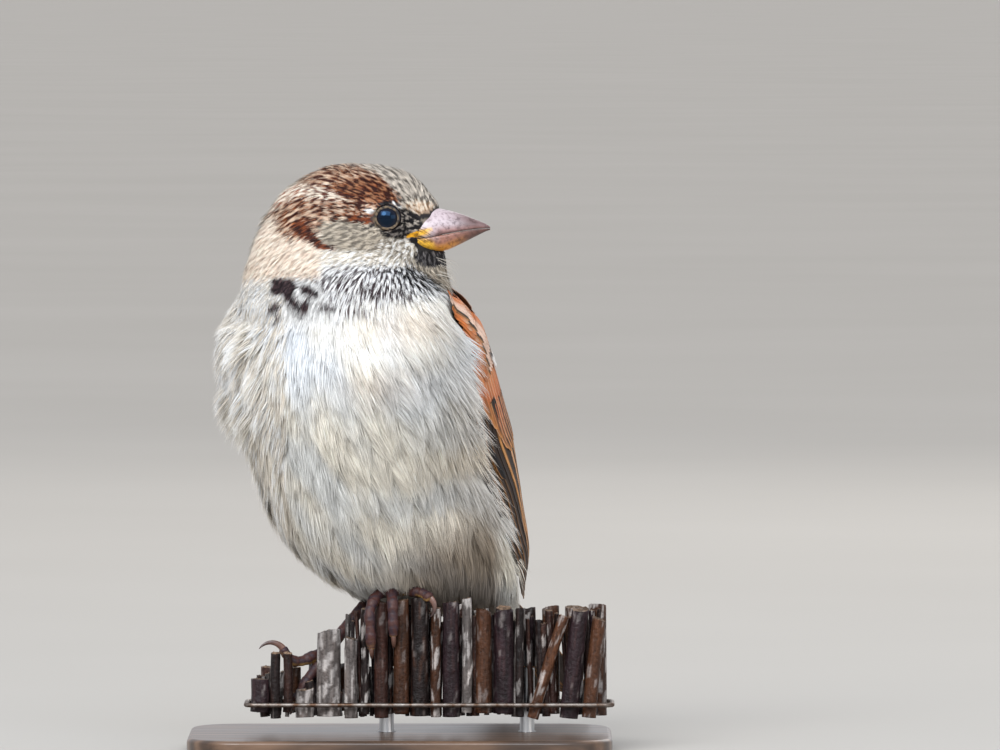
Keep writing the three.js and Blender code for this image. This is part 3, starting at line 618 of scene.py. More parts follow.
def markings(p, streak, t, r, tuft):
    """Colours at points p of the coat. streak is a rank from 0 to 1, t the share from root to tip,
    r and tuft are noise about 0 for each strand and each feather."""
    m = Marks(p, r, tuft)
    for layer in (body_marks, throat_marks, cheek_marks, crown_marks, face_marks, bib_spots):
        layer(m)
    colour = np.where((streak + 0.22 * r < m.width)[:, None], m.core, m.edge)
    rank = streak + 0.3 * r
    pale = (t > m.start + 0.12 * r) & (rank > 0.5) | (rank > 0.86)
    return np.where(pale[:, None], m.tip, colour)


# ---------------------------------------------------------------- the coat's depth, length and lie


def nearness(p):
    """Distances in mm from the eye's middle (seen from the side) and from the bill's root."""
    h = to_head(p)
    eye = np.where(np.abs(h[:, 1]) > 4, np.hypot(h[:, 0] - EYE_AHEAD, h[:, 2]), 30)
    bill = np.sqrt((h[:, 0] - 10) ** 2 + h[:, 1] ** 2 + (h[:, 2] + 3.2) ** 2) - 4.6
    return h, eye, bill


def headness(p):
    """1 on the head, 0 on the body."""
    return ss(p[:, 2], 92, 103)


def coat_depth(p):
    """Thickness of the feathers over the skin in mm."""
    h, eye, bill = nearness(p)
    b = to_body(p)
    head = lerp(1.15, 2.0, ss(h[:, 2], -6, -14)) + 0.7 * ss(h[:, 0], -14, -24)
    head = np.minimum(head, lerp(0.32, 1.6, ss(eye, 2.6, 8)))
    head = np.minimum(head, lerp(0.4, 2.0, ss(bill, 0.5, 8)))
    body = 3.2 - 1.9 * ss(b[:, 0], 6, -14) - 0.6 * ss(b[:, 2], 2, 12)
    return lerp(body, head, headness(p))


def wing_edges(along, side):
    """Turns of the folded wing's leading and trailing edges; side is above 0 on the left."""
    near, far = (np.interp(along, WING[:, 0], WING[:, k]) for k in (1, 2))
    return near + np.where(side < 0, RIGHT_TUCK * np.minimum((far - near) / 40, 1), 0), far


def wing_height(along, turn, side):
    """Height of the folded wing's surface over its bed."""
    near, far = wing_edges(along, side)
    rim, full = (np.interp(along, WING[:, 0], WING[:, k]) for k in (3, 4))
    return rim + (full - rim) * np.sin(math.pi * np.clip((turn - near) / (far - near), 0, 1)) ** 0.6


def wing_place(b):
    """Turn from the flank of body points, in degrees, and the edges of the wing there."""
    half, back, sway = (np.interp(b[:, 0], BED[:, 0], BED[:, k]) for k in (1, 2, 3))
    turn = np.degrees(np.arctan2(b[:, 2] / back, np.abs(b[:, 1] - sway) / half))
    return turn, *wing_edges(b[:, 0], b[:, 1] - sway)


def coat_rise(p):
    """Height of the feathers' tips: the coat's depth, and more where it laps over the wing's edge."""
    b = to_body(p)
    turn, near, _ = wing_place(b)
    over = turn - np.minimum(near, 4) - np.interp(b[:, 0], [0, 20], [-4, 2])
    lap = np.exp(-((over / np.where(over < 0, 14, 9)) ** 2)) * ss(b[:, 0], 76, 68)
    full = np.interp(b[:, 0], [-8, 0, 10, 30, 46, 54, 60, 66, 70],
                     [0.3, 1.2, 3.0, 4.0, 4.5, 5.3, 5.3, 4.4, 2.2])
    full = full * np.where(b[:, 1] < 0, 0.45, 1)
    return coat_depth(p) + full * lap + 1.8 * ss(p[:, 0], 17, 23) * ss(p[:, 2], 52, 42)


def spotted(p):
    """1 on the bib's spots at the neck's near side, 0 away from them."""
    return ss(ellipse(*from_front(p), -20, -18, 9, 8), -1, 1) * (to_head(p)[:, 1] < 0)


def coat_length(p):
    """Length of the tufts in mm."""
    h, eye, bill = nearness(p)
    b = to_body(p)
    low = h[:, 2]
    head = 2.5 + 1.4 * ss(h[:, 0], -12, -22) + 0.9 * ss(low, -6, -11) + 1.0 * ss(low, -11, -16)
    head = np.minimum(head, lerp(0.9, 3.6, ss(eye, 2.6, 10)))
    head = np.minimum(head, lerp(1.0, 4.4, ss(bill, 0.0, 12))) - 1.8 * spotted(p)
    turn, near, _ = wing_place(b)
    lap = np.exp(-(((turn - near) / 12) ** 2)) * ss(b[:, 0], 76, 68)
    body = lerp(8.0, 11.0, ss(b[:, 0], 66, 40)) + 1.5 * lap
    body = body - 3.0 * ss(b[:, 0], 4, -12) - 2.0 * ss(b[:, 2], 0, 10)
    return lerp(body, head, headness(p))


def lie(p, n):
    """Direction of the coat along the skin, for points and normals."""
    h, b = to_head(p), to_body(p)
    away = unit(h - vec(8.5, 0, -3.4)) * vec(1, 0.8, 0.8)
    down = 0.1 + 0.75 * ss(h[:, 0], -8, -24) + 0.9 * ss(h[:, 2], -6, -15)
    away[:, 2] -= down
    away[:, 0] -= 0.35 * ss(h[:, 2], 2, 9)
    head = away @ HEAD.T
    spread = vec(0, 1, 0) * (0.016 * (b[:, 1] + 4))[:, None]
    belly = ss(b[:, 2], 4, -8)[:, None]
    body = (vec(-1, 0, 0) * (1 - 0.42 * belly) + spread) @ BODY.T + vec(0, 0, -1) * 0.62 * belly
    turn, near, _ = wing_place(b)
    over = np.exp(-(((turn - near - 4) / 12) ** 2)) * ss(b[:, 0], 74, 66) * ss(b[:, 0], 36, 50)
    rise = np.radians(turn)
    outward = np.stack([np.zeros(len(b)), -np.sign(b[:, 1]) * np.sin(rise), np.cos(rise)], 1)
    body = unit(body) + 0.06 * over[:, None] * (outward @ BODY.T)
    mixed = unit(lerp(unit(body), unit(head), headness(p)[:, None]))
    mixed -= n * np.sum(mixed * n, axis=1, keepdims=True)
    return unit(mixed)


# ---------------------------------------------------------------- the skin


def trunk_rings(rows, columns):
    s = blend(TRUNK, np.linspace(0, 1, rows))
    c, d = np.cos(turns(columns))[None], np.sin(turns(columns))[None]
    deep = np.where(d > 0, s[:, 3:4], s[:, 2:3])
    lean = s[:, 4:5] * (1 - 0.5 * np.maximum(d, 0))
    along = np.broadcast_to(s[:, 0:1], (rows, columns))
    return from_body(np.stack([along, s[:, 1:2] * c + lean, s[:, 5:6] + deep * d], -1))


def head_rings(rows, columns):
    s = blend(SKULL, np.linspace(0, 1, rows))
    c, d = np.cos(turns(columns))[None], np.sin(turns(columns))[None]
    reach = np.where(c > 0, s[:, 1:2] - WIDEST, WIDEST - s[:, 2:3])
    power = np.where(c > 0, s[:, 5:6], 1.0)
    across = s[:, 4:5] + s[:, 3:4] * np.sign(d) * np.abs(d) ** power
    return from_head(np.stack([WIDEST + reach * c, across, np.broadcast_to(s[:, 0:1], (rows, columns))], -1))


def scratch(name, parts):
    """An object for modifiers only, from parts in mm."""
    points, faces = merged(parts)[:2]
    mesh = bpy.data.meshes.new(name)
    mesh.from_pydata((points * MM).tolist(), [], [f.tolist() for g in faces for f in g])
    return placed(name, mesh)


def applied(obj):
    """The object's mesh with its modifiers applied; the object is removed."""
    mesh = bpy.data.meshes.new_from_object(obj.evaluated_get(bpy.context.evaluated_depsgraph_get()))
    bpy.data.objects.remove(obj)
    return mesh


def remeshed(name, parts, voxel, smooth):
    """Parts grown together into one skin of even quads."""
    obj = scratch(name, parts)
    step = obj.modifiers.new("voxels", "REMESH")
    step.mode = "VOXEL"
    step.voxel_size = voxel * MM
    obj.modifiers.new("smooth", "SMOOTH").iterations = smooth
    return applied(obj)


def arrays(mesh):
    """A mesh's points in mm, and its normals."""
    points, normals = (np.empty(len(mesh.vertices) * 3, np.float32) for _ in range(2))
    mesh.vertices.foreach_get("co", points)
    mesh.vertex_normals.foreach_get("vector", normals)
    return points.reshape(-1, 3).astype(float) * 1000, normals.reshape(-1, 3).astype(float)


flesh = remeshed("flesh", [loft(trunk_rings(120, 90)), loft(head_rings(90, 90))], 0.6, 8)
P, N = arrays(flesh)
P = P - N * (coat_depth(P) * 0.9)[:, None]
flesh.vertices.foreach_set("co", (P * MM).astype(np.float32).ravel())
flesh.update()
P, N = arrays(flesh)
quads = np.empty(len(flesh.loops), np.int32)
flesh.loops.foreach_get("vertex_index", quads)
quads = quads.reshape(-1, 4)
tree = BVHTree.FromPolygons(P.tolist(), quads.tolist())


def on_skin(points):
    """The nearest points of the skin, and its normals there."""
    places, normals = np.empty_like(points), np.empty_like(points)
    smooth = unit(N[quads].mean(1))
    for i, q in enumerate(points.tolist()):
        place, _, face, _ = tree.find_nearest(q)
        places[i] = place
        normals[i] = smooth[face]
    return places, normals


# ---------------------------------------------------------------- legs and claws

LEGS = {
    "left": dict(
        ankle=(8.7, 15.5, 38.2), foot=(0.2, -1.4, 34.9),
        inner=[(-4.2, -4.6, 34.6), (-6.4, -7.7, 31.4), (-6.4, -8.4, 26.8), (-6.2, -8.1, 22.4)],
        middle=[(-1.7, -5.2, 34.8), (-1.6, -7.9, 32.7), (-1.5, -8.5, 28.8), (-1.4, -8.2, 25.2)],
        outer=[(2.2, -3.6, 35), (4.6, -5.4, 34.7), (6.8, -6.4, 33.4)],
        hind=[(0.2, 2, 34.4), (0.2, 5.4, 34.1), (0.2, 7.8, 33.3)]),
    "right": dict(
        ankle=(-5, 9.8, 34.8), foot=(-16.2, 1.6, 21.4),
        inner=[(-17.8, 0.6, 18.6), (-20.6, -0.8, 14.8), (-22.8, -2, 10.4)],
        middle=[(-18.6, 0.2, 20.7), (-21.4, -1.2, 19.6), (-23.9, -2.2, 20), (-25.6, -2.8, 22.6)],
        outer=[(-15, 1.8, 18.4), (-14.4, 1.8, 14.6), (-14, 1.8, 11.4)],
        hind=[(-15.8, 4.6, 21), (-15, 7.4, 20.4), (-14.6, 9, 18.4)]),
}
TOES = ("inner", "middle", "outer", "hind")
CLAW_LENGTH = {"inner": 5, "middle": 6.4, "outer": 5, "hind": 6.4}


def leg_parts(leg):
    """Shank and toes, with their scutes as low steps all round them."""
    ankle, foot = vec(*leg["ankle"]), vec(*leg["foot"])
    path = spline([ankle + (ankle - foot) * 0.25, ankle, foot], 90)
    u = np.linspace(0, 1, len(path))
    length = np.linalg.norm(path[-1] - path[0])
    step = (u * length / 1.9) % 1
    radius = 1.2 + 0.3 * np.abs(2 * u - 1) ** 3 + 0.11 * (1 - step) ** 0.5 * (step > 0.06)
    parts = [loft(sweep(path, radius, 18))]
    for toe in TOES:
        line = spline([foot, *leg[toe]], 80)
        u = np.linspace(0, 1, 80)
        length = np.linalg.norm(np.diff(line, axis=0), axis=1).sum()
        step = (u * length / 1.45) % 1
        radius = 1.28 * (1 - 0.16 * u) + 0.1 * np.cos(u * length / 4.2 * 2 * math.pi)
        radius = radius + 0.13 * (1 - step) ** 0.6 * (step > 0.08) - 0.05
        radius[-6:] *= np.array([1, 0.98, 0.94, 0.86, 0.7, 0.4])
        parts.append(loft(sweep(line, radius, 16)))
    parts.append(ball(foot, vec(0, 0, 1), 1.5, 13, 16, 0.02))
    return parts


def claw_rings(leg, toe, right):
    """A curved claw at the toe's end, and the share from its root to its tip at each point."""
    line = spline([leg["foot"], *leg[toe]], 80)
    end, ahead = line[-1], unit(line[-1] - line[-5])
    bend = vec(0, 1, 0)
    if right and toe == "middle":
        bend = vec(-0.35, 0, -1)
    elif toe == "hind":
        bend = vec(0, -0.5, -1)
    elif abs(ahead[2]) < 0.75:
        bend = vec(0, 0, -1)
    axis = unit(np.cross(ahead, bend))
    inward = np.cross(axis, ahead)
    full = math.radians(115)
    radius = CLAW_LENGTH[toe] / full
    u = np.linspace(0, 1, 22)
    path = end + ahead * (-0.5 + radius * np.sin(u * full))[:, None]
    path = path + inward * (radius * (1 - np.cos(u * full)))[:, None]
    rings = sweep(path, 0.76 * (1 - u) ** 0.75 + 0.06, 14)
    middle = rings.mean(1, keepdims=True)
    flat = np.sum((rings - middle) * axis, -1, keepdims=True) * axis
    return *loft(rings - 0.28 * flat), np.concatenate([np.repeat(u, 14), [0, 1]])


leg_mesh = remeshed("legs", [q for leg in LEGS.values() for q in leg_parts(leg)], 0.17, 1)


def beaded_ring(centre, axis, major, minor, beads, depth, oval):
    """A ring round an axis, its thickness rising and falling in beads."""
    rows, columns = 96, 14
    helper = unit(np.cross(axis, vec(0, 0, 1)))
    t = turns(rows)
    out = helper * np.cos(t)[:, None] + np.cross(axis, helper) * np.sin(t)[:, None] * oval
    thick = np.broadcast_to((minor * (1 + depth * np.cos(beads * t)))[:, None], (rows, columns))
    rings = rings_round(centre + major * out, unit(out), np.broadcast_to(axis, out.shape), thick, columns)
    return rings.reshape(-1, 3), [closed_tube_faces(rows, columns)]


outer_lids, inner_lids, sockets = [], [], []
for sign in (1, -1):
    axis = unit(HEAD @ vec(0.16, sign, 0.02))
    centre = from_head(vec(EYE_AHEAD, sign * EYE_DEPTH, 0))
    outer_lids.append(beaded_ring(centre + axis * 2.4, axis, 2.5, 0.22, 30, 0.2, 0.95))
    inner_lids.append(beaded_ring(centre + axis * 2.5, axis, 2.32, 0.13, 44, 0.15, 0.94))
    sockets.append(ball(centre, axis, 3.34, 33, 48, 0.01))

skin = placed("skin_part", flesh)
for other, operation in ((scratch("sockets", sockets), "DIFFERENCE"), (placed("legs", leg_mesh), "UNION"),
                         (scratch("outer_lids", outer_lids), "UNION"),
                         (scratch("inner_lids", inner_lids), "UNION")):
    step = skin.modifiers.new(operation, "BOOLEAN")
    step.operation = operation
    step.object = other
    step.solver = "MANIFOLD"
    skin = placed("skin_part", applied(skin))
    bpy.data.objects.remove(other)
skin.name = "skin"
skin_mesh = skin.data
skin_mesh.shade_smooth()
SP, SN = arrays(skin_mesh)


def leg_distance(points):
    """Distance to the nearest line of a shank or a toe."""
    best = np.full(len(points), 1e9)
    for leg in LEGS.values():
        for ends in ([leg["ankle"]], *(leg[toe] for toe in TOES)):
            for q in spline([leg["foot"], *ends], 24):
                best = np.minimum(best, np.linalg.norm(points - q, axis=1))
    return best


def skin_colours():
    """The markings' colours, darker, with dark legs, ochre pads and grey-brown lids."""
    h, count = to_head(SP), len(SP)
    colour = markings(SP, np.full(count, 0.5), np.full(count, 0.5), np.zeros(count), np.zeros(count)) * 0.55
    leg = leg_distance(SP) < 1.95
    pad = ss(-SN[:, 2], 0.15, 0.7) * (SP[:, 2] < 36.5)
    scales = tint(vec(0.062, 0.022, 0.018), vec(0.034, 0.018, 0.024), ss(wave_noise(SP, 1.6, 5), -0.3, 0.4))
    scales = tint(scales, vec(0.42, 0.25, 0.08), pad * ss(wave_noise(SP, 3.4, 6), -0.2, 0.3) * 0.8)
    colour[leg] = scales[leg]
    lid = (np.hypot(h[:, 0] - EYE_AHEAD, h[:, 2]) < 2.85) & (np.abs(h[:, 1]) > 8.4)
    grain = ss(wave_noise(SP, 0.9, 8), -0.2, 0.3)
    colour[lid] = tint(vec(0.16, 0.115, 0.07), vec(0.03, 0.023, 0.018), grain)[lid]
    return colour


def skin_material():
    s = Shader("skin", Roughness=0.6, Specular_IOR_Level=0.35)
    mottle = [(0.3, (0.78, 0.76, 0.75)), (0.7, (1.08, 1.05, 1.04))]
    s.colour(s.dimmed(s.attribute(), s.noise(900, detail=4), mottle))
    s.rough(s.noise(1400), 0.38, 0.7)
    s.bump(s.noise(2200, detail=4), 0.5, 0.0002)
    return s.material


add_colour(skin_mesh, skin_colours())
skin_mesh.materials.clear()
skin_mesh.materials.append(skin_material())
finish(skin, "plumage_body")
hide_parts("head", "neck", "trunk", "leg_left", "leg_right")


def claw_material():
    s = Shader("claw", Roughness=0.32, Specular_IOR_Level=0.5, Coat_Weight=0.3, Coat_Roughness=0.2)
    mottle = [(0.35, (0.7, 0.68, 0.66)), (0.7, (1.15, 1.1, 1.05))]
    s.colour(s.dimmed(s.attribute(), s.noise(700, detail=3), mottle))
    s.bump(s.noise(1800, detail=3), 0.25, 0.0001)
    return s.material


claw_parts = [claw_rings(leg, toe, side == "right") for side, leg in LEGS.items() for toe in TOES]
points, faces, share = merged(claw_parts)
horn = tint(vec(0.17, 0.09, 0.07), vec(0.05, 0.03, 0.028), ss(share, 0.1, 0.9))
claw = make("claws", points, faces, "claw", claw_material(), horn)
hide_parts(*[f"claw_{side}_{toe}" for side in LEGS for toe in TOES])

# ---------------------------------------------------------------- the coat


def under_wing(b):
    """True for body points under a folded wing, a few degrees inside its edge."""
    margin = 3
    turn, near, far = wing_place(b)
    lap = margin + np.interp(b[:, 0], [0, 20, 46, 56, 57, 60, 62, 64, 66], [0, 3, 2, 2, 10, 9, 8, 4, 0])
    return (b[:, 0] < 65) & (turn > near + lap) & (turn < far - margin)


corners = P[quads]
sides = corners[:, 1:] - corners[:, :1]
areas = 0.5 * (np.linalg.norm(np.cross(sides[:, 0], sides[:, 1]), axis=1)
               + np.linalg.norm(np.cross(sides[:, 1], sides[:, 2]), axis=1))


def roots(density):
    """Random places on the skin, density(points) to the square millimetre."""
    middle = corners.mean(1)
    want = areas * density(middle)
    count = np.floor(want + rng.random(len(want))).astype(int)
    face = np.repeat(np.arange(len(want)), count)
    u, v = rng.random(len(face))[:, None], rng.random(len(face))[:, None]
    w = [(1 - u) * (1 - v), u * (1 - v), u * v, (1 - u) * v]
    points = sum(w[k] * corners[face, k] for k in range(4))
    normals = unit(sum(w[k] * N[quads[face, k]] for k in range(4)))
    return points, normals


def coat_density(p):
    """Tufts to the square millimetre."""
    h, eye, bill = nearness(p)
    fine = np.maximum(ss(eye, 7, 3), ss(bill, 5, 1))
    head = 5.0 + 6.0 * fine - 1.8 * ss(h[:, 2], -8, -18) + 2.2 * spotted(p)
    half = np.abs(h[:, 1])
    culmen = np.interp(h[:, 0], BILL[:, 0], BILL[:, 1])
    in_bill = (h[:, 0] > 6.0 + 0.25 * half ** 1.2) & (half < 4.6)
    in_bill &= (h[:, 2] > -7.0) & (h[:, 2] < culmen - 0.2)
    bare = in_bill | under_wing(to_body(p)) | (eye < 2.75) | (leg_distance(p) < 2.2)
    return np.where(bare, 0.0, lerp(1.7, head, headness(p)))


root, up = roots(coat_density)


def chart(p):
    """Place of a skin point on the unrolled skin: trunk below, head above."""
    h, b = to_head(p), to_body(p)
    spine = np.interp(b[:, 0], TRUNK[:, 0], TRUNK[:, 5])
    around = np.arctan2(b[:, 2] - spine, b[:, 1]) / (2 * math.pi) + 0.5
    trunk = np.stack([0.01 + 0.97 * around, 0.01 + 0.68 * (b[:, 0] + 26) / 114], 1)
    round_head = np.arctan2(h[:, 1], h[:, 0] - WIDEST) / (2 * math.pi) + 0.5
    over = np.arctan2(np.hypot(h[:, 1], h[:, 0] - WIDEST), h[:, 2] + 4) / math.pi
    skull = np.stack([0.01 + 0.97 * round_head, 0.72 + 0.27 * np.clip(over / 0.85, 0, 1)], 1)
    return np.where((h[:, 2] > -16)[:, None], skull, trunk)


lock_root, _ = roots(lambda p: lerp(0.06, 0.14, headness(p)))
kd = KDTree(len(lock_root))
for i, q in enumerate(lock_root.tolist()):
    kd.insert(q, i)
kd.balance()
lock_of = np.array([kd.find(q)[1] for q in root.tolist()])
lock_noise = rng.normal(size=len(lock_root))


def tuft_lines(p, n, length, segments):
    """Lines along the skin from the tufts' roots, in the coat's lie, and the normals on them."""
    lines, normals = [p], [n]
    for _ in range(segments):
        ahead = lie(lines[-1], normals[-1])
        q, m = on_skin(lines[-1] + ahead * (length / segments)[:, None])
        lines.append(q)
        normals.append(m)
    return np.stack(lines, 1), np.stack(normals, 1)


def twice(rows):
    """All points of a strand but its tip are doubled, for its left and right edges."""
    return np.concatenate([np.repeat(rows[:, :-1], 2, axis=1), rows[:, -1:]], 1)


def grow(index, segments, strands, part_of):
    """Strands for the tufts of index, on the head or the body."""
    p, n = root[index], up[index]
    count = len(p)
    total = count * strands
    length = coat_length(p) * rng.uniform(0.85, 1.15, count)
    depth = coat_rise(p)[:, None]
    _, eye, bill = nearness(p)
    b = to_body(p)
    of_head = headness(p)
    lines, normals = tuft_lines(p, n, length, segments)
    # feathers of a lock lean towards its middle line
    lock, loose = lock_root[lock_of[index]], lock_noise[lock_of[index]]
    tangent = unit(lines[:, -1] - lines[:, 0])
    across = np.cross(normals[:, -1], tangent)
    aside = np.sum((lock - p) * across, axis=1)
    belly = ss(b[:, 0], 66, 52) * ss(b[:, 2], 6, -4)
    pull = aside * lerp(lerp(0.35, 0.55, belly), 0.2, of_head)
    shares = np.linspace(0, 1, segments + 1)
    lines += across[:, None] * (pull[:, None] * shares[None] ** 1.6)[..., None]
    lifted = (loose * 0.1 + 1)[:, None]

    tuft_noise = rng.uniform(-0.5, 0.5, count)
    half = lerp(1.25, 0.5, of_head) * rng.uniform(0.8, 1.2, count)
    half = np.minimum(half, lerp(0.26, 0.6, ss(np.minimum(eye - 2.4, bill), 0, 4)))
    half = np.where(of_head > 0.5, half, lerp(1.25, 0.5, of_head))[:, None]
    thick = lerp(0.21, 0.115, of_head)
    jagged = ss(p[:, 0], -22, -29) * ss(p[:, 2], 72, 79) * ss(p[:, 2], 99, 92)
    jagged = (jagged * (0.5 + 1.1 * (loose > 0.1)))[:, None]

    a = np.linspace(-1, 1, strands)[None] + rng.uniform(-0.12, 0.12, (count, strands))
    reach = (1 - 0.28 * a ** 2) * rng.uniform(0.78, 1.1, (count, strands))
    r = rng.uniform(-0.5, 0.5, (count, strands))
    splay = lerp(0.25, 0.42, of_head)[:, None]
    fold = rng.uniform(-1, 1, (count, strands)) * lerp(0.5, 0.16, of_head)[:, None]
    rows = np.arange(count)[:, None]

    points, ups = [], []
    for k in range(segments + 1):
        t = k / segments
        at = reach * t  # share of the tuft's own line
        place = np.clip(at * segments, 0, segments - 1e-6)
        i = place.astype(int)
        f = (place - i)[..., None]
        base = lines[rows, i] * (1 - f) + lines[rows, i + 1] * f
        base = base + np.maximum(at - 1, 0)[..., None] * (lines[:, -1] - lines[:, -2])[:, None] * segments
        normal = unit(normals[rows, i] * (1 - f) + normals[rows, i + 1] * f)
        side = np.cross(normal, tangent[:, None])
        widening = splay + (1 - splay) * np.sin(math.pi * min(t, 0.72) / 1.1)
        spread = a * half * widening * (1 - 0.35 * t ** 3) + fold * t ** 2 * 0.6
        rise = depth * (lifted * (1.08 + 0.16 * r) * at ** 0.75 * (1 - 0.12 * a ** 2))
        rise = rise + (jagged * 2.0 + 0.5 * fold * depth * 0.3) * t ** 2
        points.append(base + normal * rise[..., None] + side * spread[..., None])
        ups.append(normal)
    points, ups = np.stack(points, 2), np.stack(ups, 2)  # count, strands, segments + 1, 3
    heading = unit(np.gradient(points, axis=2))
    side = unit(np.cross(ups, heading))
    side = unit(side + ups * rng.uniform(-0.5, 0.5, (count, strands))[..., None, None])
    profile = np.array(STRAND_PROFILE[segments])
    w = (thick[:, None, None] * rng.uniform(0.7, 1.25, (count, strands, 1)) * profile[None, None])[..., None]
    left, right = points - side * w / 2, points + side * w / 2
    body = np.stack([left[:, :, :-1], right[:, :, :-1]], 3).reshape(total, 2 * segments, 3)
    verts = np.concatenate([body, points[:, :, -1].reshape(-1, 1, 3)], 1)

    # colour
    at = (points[:, :, -2] * 0.55 + points[:, :, -1] * 0.45).reshape(-1, 3)
    a, r = a.ravel(), r.ravel()
    exact = np.repeat(0.92 * spotted(p), strands)[:, None]
    pointing = unit(points[:, :, -1] - points[:, :, 0]).reshape(-1, 3)
    streak = streaks(at, pointing, *STREAK_SIZE[segments])
    shade = 1 + 0.16 * rng.uniform(-1, 1, total) + 0.10 * np.repeat(rng.uniform(-1, 1, count), strands)
    # strands at the edges of each lock darker: painted shade in the gaps between locks; lock_shade adds a
    # random tone for each lock
    lock_gap_shade = 0.09 * belly * np.clip(np.abs(aside) / 2.6, 0, 1.2) ** 2
    lock_shade = np.repeat(loose * lerp(0.05, 0.015, of_head) - lock_gap_shade, strands)
    fine = np.repeat(of_head, strands)
    mark = rng.random(total)
    dark_or_light = np.where(mark > 0.88, lerp(1.04, 1.15, fine), 1.0)
    shade = shade * np.where(mark < 0.15, lerp(0.92, 0.75, fine), dark_or_light)
    # fine streaks along the strands a little lighter and darker: painted highlight and shade
    shade = shade + lock_shade + lerp(0.10, 0.16, fine) * (streak - 0.5)
    colours = []
    for k, t in enumerate(shares):
        here = lerp(at, points[:, :, k].reshape(-1, 3), exact)
        c = markings(here, streak, np.full(total, max(t, 0.45)), r, np.repeat(tuft_noise, strands))
        # strands darker towards the root: partly the feathers' grey bases, partly painted shade deep in the
        # coat
        dim = lerp(lerp(0.74, 0.62, fine), 1.0, min(t / 0.5, 1.0)) * shade
        colours.append(c * dim[:, None])
    rgb = twice(np.stack(colours, 1))

    # shading normals close to the skin's
    ups, side, own = (q.reshape(total, segments + 1, 3) for q in (ups, side, unit(np.cross(heading, side))))
    normals = twice(unit(ups * 0.68 + own * 0.32 + side * 0.35 * a[:, None, None]))

    # place of each tuft on the unrolled skin
    u = a[:, None] * 0.42 + np.concatenate([np.tile([-0.08, 0.08], segments), [0.0]])[None]
    v = np.concatenate([np.repeat(shares[:-1], 2), [1.0]])[None] - 0.5
    cell = np.stack([u, np.broadcast_to(v, u.shape)], -1)
    uv = np.repeat(chart(p), strands, axis=0)[:, None] + 0.003 * cell
    strand_pieces(part_of, segments, strands, verts, rgb, uv, normals)


def strand_pieces(part_of, segments, strands, verts, rgb, uv, normals):
    """Mesh objects of whole tufts, each of at most PIECE_LIMIT triangles."""
    size = 2 * segments + 1
    step = int(PIECE_LIMIT / (2 * segments - 1) / strands) * strands
    for number, first in enumerate(range(0, len(verts), step)):
        part = slice(first, first + step)
        start = np.arange(len(verts[part]))[:, None] * size
        fours = [start + np.array([[2 * k, 2 * k + 2, 2 * k + 3, 2 * k + 1]]) for k in range(segments - 1)]
        faces = [np.concatenate(fours), start + np.array([[size - 3, size - 1, size - 2]])]
        make(f"coat_{part_of}_{number + 1}", verts[part].reshape(-1, 3), faces, f"plumage_{part_of}", plumage,
             rgb[part].reshape(-1, 3), uv[part].reshape(-1, 2), normals[part].reshape(-1, 3))


# A strand's width from root to tip, and the width and length of its streaks, by its segments.
STRAND_PROFILE = {2: (0.8, 1.0, 0.0), 3: (0.75, 1.0, 0.8, 0.0)}
STREAK_SIZE = {2: (0.8, 1.5), 3: (2.2, 5.0)}
PIECE_LIMIT = 190000
order = np.argsort(root[:, 2] + 0.3 * root[:, 0])
is_head = headness(root[order]) > 0.45
grow(order[is_head], 2, 9, "head")
grow(order[~is_head], 3, 10, "body")

# ---------------------------------------------------------------- vanes: wings and tail


def bed(side, along, turn, out):
    """Points over the wings' bed; turn in degrees from the flank."""
    table = blend(BED, np.linspace(0, 1, 400))
    half, back, sway = (np.interp(along, table[:, 0], table[:, k]) for k in (1, 2, 3))
    t = np.radians(turn)
    slope = unit(np.stack([np.zeros_like(t), np.cos(t) / half, np.sin(t) / back], -1))
    local = np.stack([along, half * np.cos(t), back * np.sin(t)], -1) + slope * out[..., None]
    local[..., 1] = side * local[..., 1] + sway * (1 - 0.5 * np.maximum(np.sin(t), 0))
    return from_body(local)


